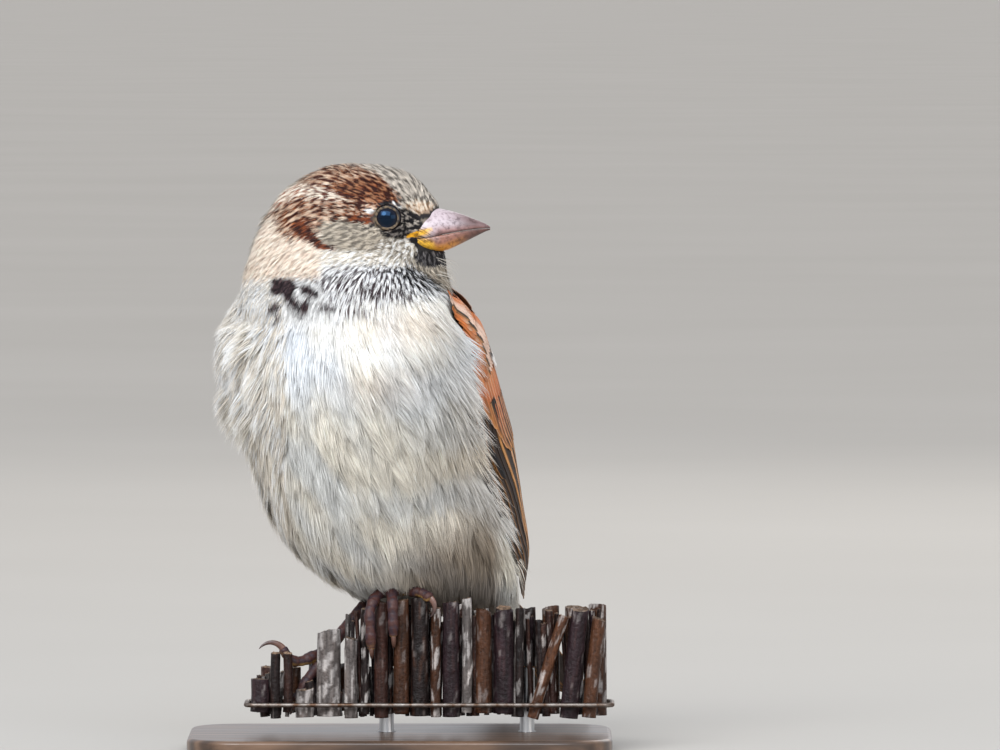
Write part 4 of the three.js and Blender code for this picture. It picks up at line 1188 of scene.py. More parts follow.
def vane(place, width, tip, paint, tile, seed, camber=0.25, rows=22, half=5):
    """A closed thin vane. place(share, across, out) gives points in the world, across and out in
    mm; tip is from 0, pointed, to 1, square; paint(share, v) gives colours; tile is its UV cell."""
    r = np.random.default_rng(seed)
    u = np.linspace(0, 1, rows) ** 0.9
    v = np.linspace(-1, 1, 2 * half + 1)
    taper = 0.12 + 0.32 * (1 - tip)
    near_tip = np.clip((u - (1 - taper)) / taper, 0, 1)
    outline = np.sqrt(np.clip(1 - near_tip ** (2.0 + tip), 0, 1)) * lerp(0.55, 1, ss(u, 0, 0.3))
    outline[-1] = 0.05
    ragged = 1 + 0.05 * r.normal(size=(rows, 2)).clip(-1.5, 1.5) * ss(u, 0.2, 0.6)[:, None]
    across = width / 2 * outline[:, None] * v[None]
    across[:, -1] *= ragged[:, 0]
    across[:, 0] *= ragged[:, 1]
    U, V = np.broadcast_to(u[:, None], across.shape), np.broadcast_to(v[None], across.shape)
    rachis = 0.16 * np.exp(-((V * width / 2 / 0.22) ** 2)) * (1 - 0.6 * U)
    arch = camber * (1 - V ** 2)
    top = place(U, across, arch + 0.06 + rachis)
    low = place(U, across, arch - 0.06 - 0.5 * rachis)
    columns = len(v)
    n = rows * columns
    a = grid_faces(rows, columns)
    b = a[:, ::-1] + n
    i = np.arange(rows - 1) * columns
    j = np.arange(columns - 1)
    rim = [np.stack([i + columns, i, i + n, i + columns + n], 1),
           np.stack([i, i + columns, i + columns + n, i + n], 1) + columns - 1,
           np.stack([j, j + 1, j + 1 + n, j + n], 1),
           np.stack([j + 1, j, j + n, j + 1 + n], 1) + (rows - 1) * columns]
    faces = np.concatenate([a, b, *rim])
    colour = paint(U.ravel(), V.ravel(), r)
    colour = np.concatenate([colour, colour * 0.75])
    x, y, w, h = tile
    uv = np.stack([x + w * (0.5 + 0.46 * V.ravel()) * 0.5, y + h * (0.03 + 0.94 * U.ravel())], 1)
    barbs = np.stack([U.ravel(), V.ravel() * width / 2], 1)
    return (np.concatenate([top.reshape(-1, 3), low.reshape(-1, 3)]), [faces], colour,
            np.concatenate([uv, uv + vec(w * 0.5, 0)]), np.concatenate([barbs, barbs]))


DARK = vec(0.045, 0.03, 0.024)
RUST = vec(0.56, 0.16, 0.05)
ORANGE = vec(0.66, 0.30, 0.10)
PINK = vec(0.90, 0.62, 0.47)
FRINGE = vec(0.66, 0.31, 0.10)


def painter(kind, pale=0.0):
    """Colours of one sort of flight feather or covert; v is -1 at its leading, seen edge."""

    def paint(u, v, r):
        barbs = 1 + 0.06 * np.sin(60 * u + 9 * np.abs(v) + r.uniform(0, 6))
        barbs = barbs + 0.06 * r.normal(size=len(u)).clip(-1, 1)
        bands = np.interp(v, np.linspace(-1, 1, 8), r.normal(size=8).clip(-1.5, 1.5))
        barbs = barbs + 0.14 * bands + r.uniform(-0.1, 0.1)
        rim, lead = np.abs(v), -v
        end = ss(u + 0.04 * rim, 0.93, 1.0)
        all_over = np.full(len(u), pale)
        if kind == "under":
            c = tint(DARK * vec(1.5, 1.3, 1.1), DARK * vec(2.6, 2.1, 1.6), ss(rim, 0.2, 0.9))
        elif kind == "primary":
            thin = 0.91 - 0.4 * max(pale - 1, 0)
            edge = ss(lead, thin, thin + 0.07) * lerp(1, 0.5, ss(u, 0.6, 1)) * min(pale, 1)
            c = tint(DARK * 0.8, FRINGE * (0.6 + 0.4 * (pale > 1)), edge)
            c = tint(c, FRINGE * 0.6, 0.3 * end)
        elif kind == "secondary":
            c = tint(DARK * 0.6, FRINGE, ss(lead, 0.55, 0.74))
            c = tint(c, PINK, ss(lead, 0.88, 0.98) * 0.5 + end * 0.4)
        elif kind == "tertial":
            c = tint(DARK * 0.8, lerp(RUST, ORANGE, 0.5), ss(rim + 0.12 * ss(u, 0.7, 1), 0.5, 0.74))
            c = tint(c, PINK, ss(rim + 0.2 * ss(u, 0.8, 1), 0.84, 0.98) * 0.8)
        elif kind == "greater":
            warm = tint(RUST * 0.95, ORANGE * vec(0.62, 0.52, 0.4), ss(u, 0.55, 0.95))
            warm = tint(warm * vec(1.15, 1.6, 2.0), warm, ss(u, 0.2, 0.5))
            core = ss(u, 0.42, 0.7) * ss(0.30 + 0.3 * pale - np.abs(v + 0.05), 0, 0.3)
            c = tint(warm, DARK, core * (0.35 + 0.65 * pale))
            c = tint(c, PINK * vec(0.95, 0.88, 0.8), ss(lead, 0.82, 0.95) * 0.75)
            c = tint(c, ORANGE, end * 0.6)
        elif kind == "median":
            c = tint(DARK, WHITE, ss(u + 0.15 * rim, 0.58, 0.72))
            c = tint(c, PINK, 0.35 * ss(rim, 0.7, 1))
        elif kind == "lesser":
            c = tint(RUST * 0.9, ORANGE * 1.25, ss(u + 0.2 * rim, 0.8, 1.05) * 0.8)
            c = tint(c, PINK, 0.75 * all_over)
            c = tint(c, CHEST_DARK, ss(0.3 - rim, 0, 0.1) * 0.3)
        elif kind == "small":
            warm = ss(u, 0.55, 0.9) * r.uniform(0.1, 0.9)
            c = tint(RUST * vec(1.15, 1.2, 1.0), lerp(BUFF, CREAM, 0.3), warm)
            c = tint(c, PINK * vec(0.95, 1.0, 1.05), 0.9 * all_over)
            c = tint(c, CHEST_DARK * 2, ss(0.3 - rim, 0, 0.2) * 0.3 * (1 - pale))
        elif kind == "streak":
            c = tint(BLACK * 1.5, ORANGE, ss(lead, 0.3, 0.8))
            c = tint(c, PINK, ss(-lead, 0.55, 0.8) * 0.8)
        elif kind == "scapular":
            c = tint(BLACK * 2.5, BACK * 1.25, ss(rim, 0.22, 0.42))
            c = tint(c, PINK * 0.8, ss(rim + 0.25 * ss(u, 0.8, 1), 0.78, 0.98))
        elif kind == "alula":
            c = tint(BLACK, DARK, ss(rim, 0.7, 0.9))
            c = tint(c, FRINGE, ss(lead, 0.86, 0.96) * 0.7)
        elif kind == "tail":
            c = tint(DARK * 1.5, FRINGE * 0.75, ss(rim, 0.8, 0.96) * 0.8)
        return np.clip(c * barbs[:, None], 0, 1)

    return paint


def bed_vane(side, start, end, width, tip, kind, rise, tile, seed, shares=False, tilt=0.05, pale=0.0,
             late=1.0, **build):
    """A vane over the folded wing from start to end, each (along, turn), or (along, share of the way
    from the leading to the trailing edge) if shares. rise is its height over the wing's own
    surface at its two ends; its leading edge lies over the feather before it by tilt."""

    def place(u, across, lift):
        along = lerp(start[0], end[0], u)
        turn = lerp(start[1], end[1], u ** late)
        if shares:
            near, far = wing_edges(along, side)
            turn = lerp(near, far, turn)
        radius = np.interp(along, BED[:, 0], 0.5 * (BED[:, 1] + BED[:, 2]))
        turn = turn + np.degrees(across / radius)
        out = wing_height(along, turn, side) + lerp(rise[0], rise[1], u) - tilt * across + lift
        return bed(side, along, turn, out)

    return vane(place, width, tip, painter(kind, pale), tile, seed, **build)


def tiles(count):
    side = math.ceil(math.sqrt(count))
    size, gap = 0.98 / side, 0.002
    return [((i % side) / side + gap, (i // side) / side + gap, size, size) for i in range(count)]


def flight_feathers(add):
    """Dark inner feathers under the rest, primaries from the outermost, secondaries and tertials."""
    for i in range(9):
        add((54, 0.13 + 0.105 * i), (-7 - 0.8 * abs(i - 2), 0.17 + 0.10 * i), 8.5, 0.7, "under",
            (-1.5, -0.75), rows=24, half=4, shares=True, tilt=0, camber=0.1)
    tips = (-17, -19, -18.2, -16.6, -14.6, -12.6, -10.6)
    for i, (tip, pale) in enumerate(zip(tips, (0, 0.5, 1, 0.9, 0.3, 0, 1.8))):
        add((44 - 0.5 * i, 0.036 * i), (tip, 0.20 + 0.07 * i), 4.6, 0.25, "primary",
            (-0.7 + 0.09 * i, -0.3 + 0.06 * i), rows=34, camber=0.05, shares=True, tilt=0.1, late=3.0,
            pale=pale)
    for i, tip in enumerate((-9.0, -5.5, -3, -1, 0.5, 2, 3.5, 5)):
        add((40 - 1.2 * i, 0.25 + 0.07 * i), (tip, 0.42 + 0.06 * i), 5.4, 0.45, "secondary",
            (-0.35 + 0.05 * i, 0.04 * i), rows=30, camber=0.08, shares=True, tilt=0.1, late=2.0)
    for i, (tip, share) in enumerate(((0, 0.78), (5, 0.86), (12, 0.92))):
        add((36 - i, 0.80 + 0.06 * i), (tip, share), 9.0 - i, 0.55, "tertial",
            (0.3 + 0.15 * i, 0.35 + 0.2 * i), rows=28, half=6, camber=0.3, shares=True)


def greater_coverts(add, offset):
    """The alula, and the greater coverts, the lower ones longer."""
    add((31.5, 1.5 + offset), (21, 4.6 + offset), 1.7, 0.5, "alula", (-0.2, 0.3), rows=14, camber=0.08)
    for i in range(22):
        seen = 6.3 + 2.6 * i + 0.9 * max(i - 6, 0)
        turn = seen + offset * (1 - i / 21)
        low = max(37.4 - 1.45 * (seen - 6.3), 24.5)
        add((55.5 - 0.3 * min(i, 8), turn - 1.2), (low, turn + 0.4), 3.1, 0.3, "greater",
            (-1.0, 0.2 + 0.01 * i), rows=26, camber=0.05, tilt=0.15, pale=float(ss(i, 0.5, 4)))


def upper_coverts(add, side, offset):
    """Median coverts, and four rows of lesser coverts."""
    for i in range(13):
        turn = -3 + 5.4 * i + offset * (1 - i / 12)
        low = (55.5, 52.5, 49.2, 46, 43.6)[min(i, 4)]
        if turn - offset > 27:
            add((low + 9, turn - 2), (low, turn + 1.5), 4.6, 0.6, "median", (-0.9, 0.1), rows=14,
                camber=0.15, tilt=0.12)
    for row in range(4):
        along = 50 + 3.1 * row
        low, high = wing_edges(along, side)
        for i in range(13):
            turn = lerp(low + 2, high - 6, (i + 0.5 * (row % 2)) / 12.5)
            if turn - offset > 34:
                add((min(along + 4.2, 63), turn), (along - 4.4, turn + 2), 3.8, 0.6, "lesser",
                    (-1.5, -0.4 - 0.7 * (along > 55)), rows=10, half=4, camber=0.12, tilt=0.1)


def small_coverts(add, offset):
    """Rows of small coverts at the wing's front edge."""
    for row in range(10):
        along = 66.5 - 1.75 * row
        inner = np.interp(along, [50, 54, 59, 62, 64, 66, 69], [11, 8, 8.5, 9.5, 11, 13, 15])
        for i in range(14):
            seen = 2.5 * (i + 0.5 * (row % 2))
            if seen > inner:
                sunk = 0.8 * float(ss(along, 57, 62) * ss(seen, 17, 24))
                kind = "streak" if 15.9 < seen < 18.0 else "small"
                add((along + 1.3, seen + offset - 0.5), (along - 4.4, seen + offset + 0.5), 1.7, 0.4, kind,
                    (-0.9 + 0.3 * (along > 62) - sunk, -0.3 - sunk), rows=8, half=2, camber=0.05,
                    tilt=0.1, pale=float(ss(seen, 17, 19) * ss(seen, 30, 26)))


def scapulars(add):
    """Four rows of shoulder feathers over the wing's root."""
    for row in range(4):
        along = 62 - 7 * row
        for i in range(4):
            turn = lerp(62, 86, (i + 0.5 * (row % 2)) / 4)
            add((along, turn - 3), (along - 15 - row, turn - 4 - row), 7.4, 0.6, "scapular",
                (0.3, 1.1 - 0.12 * i), rows=16, half=4, camber=0.5)


def folded_wing(side):
    """The feathers of a folded wing; side is 1 on the left and -1 on the right."""
    cells = iter(tiles(289))
    parts = []
    offset = RIGHT_TUCK * (side < 0)
    first_seed = 500 if side > 0 else 0

    def add(*args, **more):
        parts.append(bed_vane(side, *args, tile=next(cells), seed=len(parts) + first_seed, **more))

    flight_feathers(add)
    greater_coverts(add, offset)
    upper_coverts(add, side, offset)
    small_coverts(add, offset)
    scapulars(add)
    return merged(parts)


def vane_material():
    """Colour from the vertices, with barbs that slant away from the quill."""
    s = Shader("vanes", Roughness=0.55, Specular_IOR_Level=0.25)
    colour = s.attribute()
    uvs = s.node("ShaderNodeUVMap", uv_map="Barbs")
    split = s.node("ShaderNodeSeparateXYZ")
    s.link(uvs.outputs[0], split.inputs[0])
    slant = s.maths("MULTIPLY_ADD", s.maths("ABSOLUTE", split.outputs[1]), -0.75, split.outputs[0])
    fine = s.node("ShaderNodeMapRange", in_From_Min=-1.0)
    s.link(s.maths("SINE", s.maths("MULTIPLY", slant, 21.0)), fine.inputs["Value"])
    s.colour(s.dimmed(colour, fine.outputs[0], [(0.0, (0.80, 0.79, 0.78)), (0.6, (1.04, 1.03, 1.02))]))
    s.bump(fine.outputs[0], 0.5, 0.00006)
    return s.material


vanes = vane_material()


def vane_object(name, parts, length, slot, node):
    """An object of vanes; length in mm is the run of their barbs' coordinate."""
    points, faces, colour, uv, barbs = parts
    obj = make(name, points, faces, slot, vanes, colour, uv)
    add_uv(obj.data, "Barbs", barbs * vec(length, 1))
    obj.data.uv_layers["OFBake"].active_render = True
    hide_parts(node)


WING_BARBS, TAIL_BARBS = 22, 48
TAIL_LENGTH = 56
vane_object("wing_feathers_left", folded_wing(1), WING_BARBS, "wing_feathers", "wing_left")
vane_object("wing_feathers_right", folded_wing(-1), WING_BARBS, "wing_feathers", "wing_right")


def rectrix(number, cell):
    """One of twelve tail feathers: pairs from the middle outwards, the left six first."""
    side, pair = (1 if number < 6 else -1), number % 6
    reach = TAIL_LENGTH - 0.25 * (6 - pair)

    def place(u, across, out):
        aside = side * (1.4 + 0.7 * pair) + across
        local = np.stack([-6 - u * (reach - 6), aside, 1.6 - pair * 0.42 + out], -1)
        return from_tail(local @ rot_z(side * pair * math.radians(1.2)))

    return vane(place, 7.4, 0.6, painter("tail"), cell, 900 + number, camber=0.3, rows=30)


rectrices = merged([rectrix(number, cell) for number, cell in enumerate(tiles(24)[:12])])
vane_object("tail_feathers", rectrices, TAIL_BARBS, "tail_feathers", "tail")

# ---------------------------------------------------------------- bill and eyes


def mandible(edge):
    """Upper half of the bill for edge 1, the culmen, and lower half for edge 3, the gonys."""
    columns, rows = 33, 64
    st = blend(BILL, np.linspace(0, 1, rows))
    upper = edge == 1
    lip = st[:, 2] + (0.05 if upper else -0.05)
    turn = np.linspace(0, math.pi, columns)
    c, d = np.cos(turn)[None], np.sin(turn)[None]
    high = d ** (0.8 if upper else 0.72) * (st[:, edge] - lip)[:, None]
    half = st[:, 4:5] * (1.0 if upper else 0.97)
    across = c * half * (1 - 0.10 * d ** 4)
    local = np.stack([np.broadcast_to(st[:, 0:1], across.shape), across, lip[:, None] + high], -1)
    if upper:  # nostrils
        for sign in (1, -1):
            gap = np.linalg.norm((local - vec(8.9, sign * 3.1, 0.3)) / vec(1.3, 1.2, 0.7), axis=-1)
            local[..., 1] -= sign * 0.7 * np.exp(-gap ** 2 * 1.4)
    # the mouth's surface, flat between the cutting edges
    inner = np.linspace(1, 0, 9)[1:-1]
    floor = np.stack([local[:, 0] * k + local[:, -1] * (1 - k) for k in 1 - inner], 1)
    rings = np.concatenate([local, floor], 1)
    if not upper:
        rings = rings[:, ::-1]
    return loft(from_head(rings))


def upper_bill_colour(x, z):
    culmen, mouth = (np.interp(x, BILL[:, 0], BILL[:, k]) for k in (1, 2))
    base = tint(vec(0.46, 0.385, 0.41), vec(0.10, 0.05, 0.046), ss(x, 12, 20))
    base = tint(base, vec(0.16, 0.10, 0.10), 0.8 * ss(x, 12, 21) * ss(culmen - z, 1.6, 0.1))
    base = tint(base, vec(0.24, 0.095, 0.075), ss(z, -1.2, -3.2) * ss(x, 9, 13) * 0.9)
    wedge = stroke(x, z, (4.0, -4.2, 0.8), (7.4, -3.5, 1.0), (10.2, -2.6, 0.2))
    base = tint(base, vec(0.88, 0.46, 0.02), ss(wedge, -0.35, 0.35))
    return tint(base, vec(0.05, 0.022, 0.02), 0.8 * ss(z - mouth, 0.55, 0.1) * ss(x, 10, 13))


def lower_bill_colour(x, z):
    gonys = np.interp(x, BILL[:, 0], BILL[:, 3])
    base = tint(vec(0.28, 0.125, 0.09), vec(0.10, 0.045, 0.036), ss(x, 13, 20))
    pale = stroke(x, z, (8.6, -4.6, 0.5), (11.5, -4.5, 0.5))
    base = tint(base, vec(0.42, 0.28, 0.25), 0.6 * ss(pale, -0.5, 0.4))
    base = tint(base, vec(0.80, 0.33, 0.03), ss(z - gonys, 2.0, 0.4) * ss(x, 18.5, 13) * 0.9)
    wedge = stroke(x, z, (6.5, -5.4, 1.2), (9.4, -6.2, 1.3))
    return tint(base, vec(0.90, 0.50, 0.04), ss(wedge, -0.8, 0.6))


def bill_material():
    s = Shader("bill", Roughness=0.36, Specular_IOR_Level=0.5, Coat_Weight=0.15, Coat_Roughness=0.25)
    grit = s.ramp(s.noise(900, detail=6, rough=0.7),
                  [(0.36, (0.42, 0.37, 0.38)), (0.5, (1.0, 0.98, 0.97)), (0.72, (1.2, 1.2, 1.22))])
    s.colour(s.mix(1.0, s.attribute(), grit, "MULTIPLY"))
    s.rough(s.noise(700, detail=5), 0.26, 0.55)
    s.bump(s.noise(1500, detail=6, stretch=(0.5, 1.2, 1.2)), 0.35, 0.00016)
    return s.material


def eye_material():
    s = Shader("eye", Roughness=0.03, Specular_IOR_Level=0.5, IOR=1.5)
    s.surface.inputs["Specular Tint"].default_value = (0.20, 0.50, 1.0, 1)
    s.colour(s.mix(s.noise(1800, detail=2), s.attribute(), (0.004, 0.003, 0.003)))
    return s.material


halves = []
for edge, colours in ((1, upper_bill_colour), (3, lower_bill_colour)):
    points, faces = mandible(edge)
    place = to_head(points)
    halves.append((points, faces, colours(place[:, 0], place[:, 2])))
points, faces, colour = merged(halves)
bill = make("bill", points, faces, "bill", bill_material(), colour)
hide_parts("bill_upper", "bill_lower")

eye_surface = eye_material()
for name, sign in (("left", 1), ("right", -1)):
    centre = from_head(vec(EYE_AHEAD, sign * EYE_DEPTH, 0))
    axis = unit(HEAD @ vec(0.12, sign, 0.0))
    points, faces = ball(centre, axis, EYE_RADIUS, 65, 64, 0.004)
    outward = (points - centre) @ axis / EYE_RADIUS
    iris = tint(vec(0.012, 0.006, 0.004), vec(0.002, 0.002, 0.003), ss(outward, 0.86, 0.92))
    eye = make("eyeball_" + name, points, faces, "eye", eye_surface, iris)
    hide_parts("eye_" + name)


def hair(knots, root_radius, tip_radius):
    """A thin tapering hair through places on the head."""
    line = from_head(spline(knots, 8))
    return loft(sweep(line, np.linspace(root_radius, tip_radius, 8), 5))


# stiff bristles over the gape, and loose wisps under the chin
bristles = []
for n in range(26):
    side = -1 if n % 2 else 1
    f = rng.random()
    start = vec(5.6 + 1.8 * rng.random(), side * (5.2 - 0.4 * rng.random()), lerp(-1.6, -4.8, f))
    end = start + vec(3.2 + 1.6 * rng.random(), side * -0.2, -1.2 - 1.4 * rng.random())
    middle = (start + end) / 2 + vec(0, side * 0.7, 0.35)
    bristles.append(hair([start, middle, end], 0.055, 0.012))
for n in range(34):
    start = vec(12.2 + 1.6 * rng.random(), lerp(-5, 3, rng.random()), lerp(-8.5, -14.5, rng.random()))
    end = start + vec(1.7 + 1.2 * rng.random(), 0.4 * rng.normal(), -1.6 - 1.4 * rng.random())
    knots = [start - vec(1.2, 0, -0.2), (start + end) / 2 + vec(0.3, 0, 0.35), end]
    bristles.append(hair(knots, 0.05, 0.01))
points, faces = merged(bristles)
colour = np.where((to_head(points)[:, 2] > -6.5)[:, None], BLACK, vec(0.5, 0.46, 0.4))
make("bristles", points, faces, "plumage_head", plumage, colour, chart(points))

# ---------------------------------------------------------------- brushwood, wire and stand

# x, radius, top, and the foot's x where the stem leans
FRONT = [(-30.4, 2.1, 15.9), (-27, 1.1, 21.6), (-24.4, 1, 21.6), (-20.7, 1.9, 13.6), (-15.4, 2.6, 26.1),
         (-10.6, 1.4, 24.8), (-7.6, 0.9, 22.7), (-4, 1.5, 32.7), (0.2, 1.7, 33), (4.3, 2, 33),
         (7.8, 1.1, 31.4),
         (11.1, 1.8, 32.4), (14.5, 1.1, 33.4), (18.1, 1.7, 30.7), (22.5, 2.2, 30.5), (26, 0.9, 31.2),
         (35.6, 1.2, 29.6, 28.8), (39.2, 1.9, 31, 36.6), (43.2, 1.5, 29, 41)]
DARK_BARK, PLUM_BARK = vec(0.011, 0.006, 0.0055), vec(0.020, 0.010, 0.0125)
RED_BARK, ORANGE_BARK = vec(0.035, 0.013, 0.009), vec(0.085, 0.033, 0.015)
GREY_BARK, PALE_WOOD = vec(0.15, 0.13, 0.122), vec(0.34, 0.23, 0.155)
# bark colour and share of lichen for each front stem
LOOKS = [(PLUM_BARK, 0.1), (DARK_BARK, 0.1), (RED_BARK * 0.6, 0.08), (GREY_BARK * 0.8, 0.7),
         (GREY_BARK * 0.75, 0.75), (GREY_BARK * 0.8, 0.6), (DARK_BARK, 0.55), (RED_BARK, 0.1),
         (ORANGE_BARK * 0.6, 0.12), (DARK_BARK, 0.06), (ORANGE_BARK * 0.5, 0.5), (PLUM_BARK, 0.1),
         (GREY_BARK * 0.6, 0.6), (ORANGE_BARK * 0.7, 0.2), (PLUM_BARK, 0.06), (DARK_BARK, 0.3),
         (ORANGE_BARK, 0.4), (PLUM_BARK, 0.1), (ORANGE_BARK * 0.8, 0.3)]
STEM_ROWS, STEM_COLUMNS = 64, 28
END_RINGS = ((0.93, 0.02), (0.8, 0.12), (0.5, 0.08), (0.2, 0.1))  # share of the radius, drop
FRONT_Y, REAR_Y = -6.6, 2.4
REAR_FIRST, REAR_STEP, REAR_COUNT = -28.5, 5.1, 15
FOOT_Z = 7.4


def stem_radii(r, height, foot, top):
    """Relief of the bark and three knots, as shares of the radius."""
    angle = turns(STEM_COLUMNS)[None]
    relief = sum(r.uniform(0.3, 1) / k * np.sin(
        k * angle + r.uniform(0, 6.3) + 0.25 * np.sin(height * r.uniform(0.15, 0.5)))
                 for k in (2, 3, 5, 8, 11)) * 0.04
    knots = 0
    for q, w in zip(r.uniform(foot, top, 3), r.uniform(0, 6.3, 3)):
        aside = (angle - w + math.pi) % (2 * math.pi) - math.pi
        knots = knots + 0.10 * np.exp(-((height - q) / 0.8) ** 2 - (aside / 0.5) ** 2)
    return 1 + relief + knots


def bark_noise(points, radius, around, along, offset, size, seed):
    """Noise on a stem, drawn out along it."""
    turn = np.concatenate([np.tile(turns(STEM_COLUMNS), STEM_ROWS + len(END_RINGS)), [0, 0]])
    c, d = np.cos(turn) * radius * around, np.sin(turn) * radius * around
    place = np.stack([c, d, points[:, 2] * along], 1)
    return wave_noise(place + offset, size, seed)


def stem_colour(seed, points, radius, bark, lichen):
    """Bark with grain and fine streaks, grey lichen, and pale wood on the cut end."""
    patch = bark_noise(points, radius, 1.1, 0.3, seed * 7.7, 1.7, 21)
    grain = bark_noise(points, radius, 2.5, 0.12, seed * 3.1, 1.2, 22)
    grown = ss(patch + 0.5 * grain, 0.42 - 0.85 * lichen, 0.56 - 0.85 * lichen) * min(1, lichen * 2.2 + 0.2)
    colour = bark * (1 + 0.7 * grain[:, None]).clip(0.35, 1.9)
    fibres = ss(grain, 0.22, 0.4) * 0.5
    colour = tint(colour, lerp(RED_BARK, ORANGE_BARK, vary(seed + 3)), fibres * (0.3 + 0.5 * vary(seed + 5)))
    colour = tint(colour, vec(0.40, 0.375, 0.36) * (1 + 0.5 * grain[:, None]), grown * 0.75)
    cut = np.zeros(len(points))
    cut[STEM_ROWS * STEM_COLUMNS:-2] = 1
    cut[-1] = 1
    wood = PALE_WOOD * (0.35 + 0.5 * vary(seed + 11)) * (1 + 0.4 * grain[:, None])
    return np.clip(tint(colour, wood, cut * 0.85), 0, 1)


def stem(seed, foot, top, radius, bark, lichen):
    """A slightly bowed stem from foot to top, its cut end domed and worn at the rim."""
    r = np.random.default_rng(seed + 40)
    foot, top = vec(*foot), vec(*top)
    bow = vec(0.3 * (vary(seed) - 0.5), 0.3 * (vary(seed + 9) - 0.5), 0)
    path = spline([foot, (foot + top) / 2 + bow, top], STEM_ROWS)
    u = np.linspace(0, 1, STEM_ROWS)[:, None]
    radii = radius * (1.04 - 0.08 * u) * stem_radii(r, path[:, 2:3], foot[2], top[2])
    rings = sweep(path, radii, STEM_COLUMNS)
    tilt = vec(r.uniform(-0.3, 0.3), r.uniform(-0.3, 0.3), 0)
    rise = vec(0, 0, 1)
    last = rings[-1].mean(0)
    ends = [rings[-1]]
    for share, drop in END_RINGS:
        rough = 0.13 * r.normal(size=STEM_COLUMNS)[:, None]
        ends.append(last + (rings[-1] - last) * share + rise * -drop + rise * rough)
    ends = [ring + rise * ((ring - last) @ tilt)[:, None] for ring in ends]
    points, faces = loft(np.concatenate([rings[:-1], np.stack(ends)]))
    return points, faces, stem_colour(seed, points, radius, bark, lichen)


def front_stems():
    for n, ((x, radius, top, *foot_x), (bark, lichen)) in enumerate(zip(FRONT, LOOKS)):
        y = FRONT_Y + radius
        foot = ((foot_x or [x])[0], y, FOOT_Z + 1.4 * vary(n))
        yield stem(n, foot, (x, y, top), radius, bark, lichen * (0.6 if lichen > 0.3 else 0.35))


def rear_stems():
    barks = (DARK_BARK, PLUM_BARK, RED_BARK, ORANGE_BARK * 0.6)
    for n in range(REAR_COUNT):
        x = REAR_FIRST + n * REAR_STEP
        top = (19.2 if x < -8 else 31.6) - 1.2 * vary(n + 30)
        foot = 18.3 if n in (5, 11) else FOOT_Z + 1.4 * vary(n + 60)  # two stand on the rods
        bark = barks[int(vary(n + 70) * 3.99)]
        radius = lerp(1.7, 2.1, vary(n + 50))
        yield stem(n + 90, (x, REAR_Y, foot), (x, REAR_Y, top), radius, bark, 0.45 * vary(n + 80))


def twigs():
    """Thin twigs between the stems, where no toe is."""
    barks = (DARK_BARK, PLUM_BARK, DARK_BARK, RED_BARK * 0.7, GREY_BARK * 0.5)
    for n in range(58):
        x = -31 + 1.3 * n + 0.8 * (vary(n + 201) - 0.5)
        y = lerp(-4.9, 0.2, vary(n + 233))
        radius = lerp(0.42, 1.05, vary(n + 261) ** 1.6)
        top = lerp(*((12.5, 17.5) if x < -12 else (27.5, 31.2)), vary(n + 287))
        lean = 2.6 * (vary(n + 311) - 0.5)
        line = np.linspace(vec(x - lean, y, 7.6 + vary(n)), vec(x + 0.2 * lean, y, top), 14)
        if leg_distance(line).min() > radius + 1.6:
            bark = barks[int(vary(n + 340) * 4.99)]
            yield stem(n + 200, line[0], line[-1], radius, bark, 0.3 * vary(n + 380))


def bark_material():
    s = Shader("bark", Roughness=0.5, Specular_IOR_Level=0.22)
    fibre = s.noise(620, detail=6, rough=0.65, stretch=(1, 1, 0.16))
    speck = s.noise(1300, detail=4)
    furrows = [(0.28, (0.42, 0.4, 0.4)), (0.5, (0.95, 0.93, 0.92)), (0.72, (1.55, 1.5, 1.45))]
    tone = s.dimmed(s.attribute(), fibre, furrows)
    s.colour(s.dimmed(tone, speck, [(0.33, (0.55, 0.53, 0.52)), (0.48, (1, 1, 1))]))
    s.rough(fibre, 0.28, 0.6)
    s.bump(s.mix(0.35, fibre, speck), 1.0, 0.0008)
    return s.material


points, faces, colour = merged([*front_stems(), *rear_stems(), *twigs()])
brushwood = make("brushwood", points, faces, "bark", bark_material(), colour)
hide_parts(*[f"perch_stem_{n:02d}" for n in range(1, 35)])


def rounded(left, right, front, rear, radius, steps, z):
    """A level outline with round corners, anticlockwise from above."""
    centres = ((right - radius, front + radius), (right - radius, rear - radius),
               (left + radius, rear - radius), (left + radius, front + radius))
    ring = []
    for quarter, (x, y) in enumerate(centres):
        for extra in np.linspace(0, 90, steps):
            t = math.radians(90 * (quarter - 1) + extra)
            ring.append((x + radius * math.cos(t), y + radius * math.sin(t), z))
    return np.array(ring)


def wire_loop():
    """The binding wire: a round wire that hugs the bundle with rounded corners."""
    margin, sides = 0.8, 16
    left = FRONT[0][0] - FRONT[0][1] * 1.06 - margin
    right = REAR_FIRST + (REAR_COUNT - 1) * REAR_STEP + 2.4 + margin
    loop = rounded(left, right, FRONT_Y - 0.45 - margin, REAR_Y + 2.3 + margin, 2.0, 9, 10.4)
    up = np.broadcast_to(vec(0, 0, 1), loop.shape)
    outward = np.cross(unit(np.roll(loop, -1, 0) - np.roll(loop, 1, 0)), up)
    rings = rings_round(loop, outward, up, np.full((len(loop), sides), 0.5), sides)
    return rings.reshape(-1, 3), [closed_tube_faces(len(loop), sides)]


def wire_material():
    s = Shader("wire", Roughness=0.45, Metallic=1.0)
    rust = [(0.35, (0.10, 0.06, 0.04)), (0.55, (0.22, 0.19, 0.17)), (0.8, (0.34, 0.32, 0.30))]
    s.colour(s.ramp(s.noise(500, detail=4), rust))
    s.rough(s.noise(800), 0.32, 0.68)
    s.bump(s.noise(2500), 0.2, 0.0001)
    return s.material


binding = make("binding_wire", *wire_loop(), "wire", wire_material())
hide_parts("perch_wire")


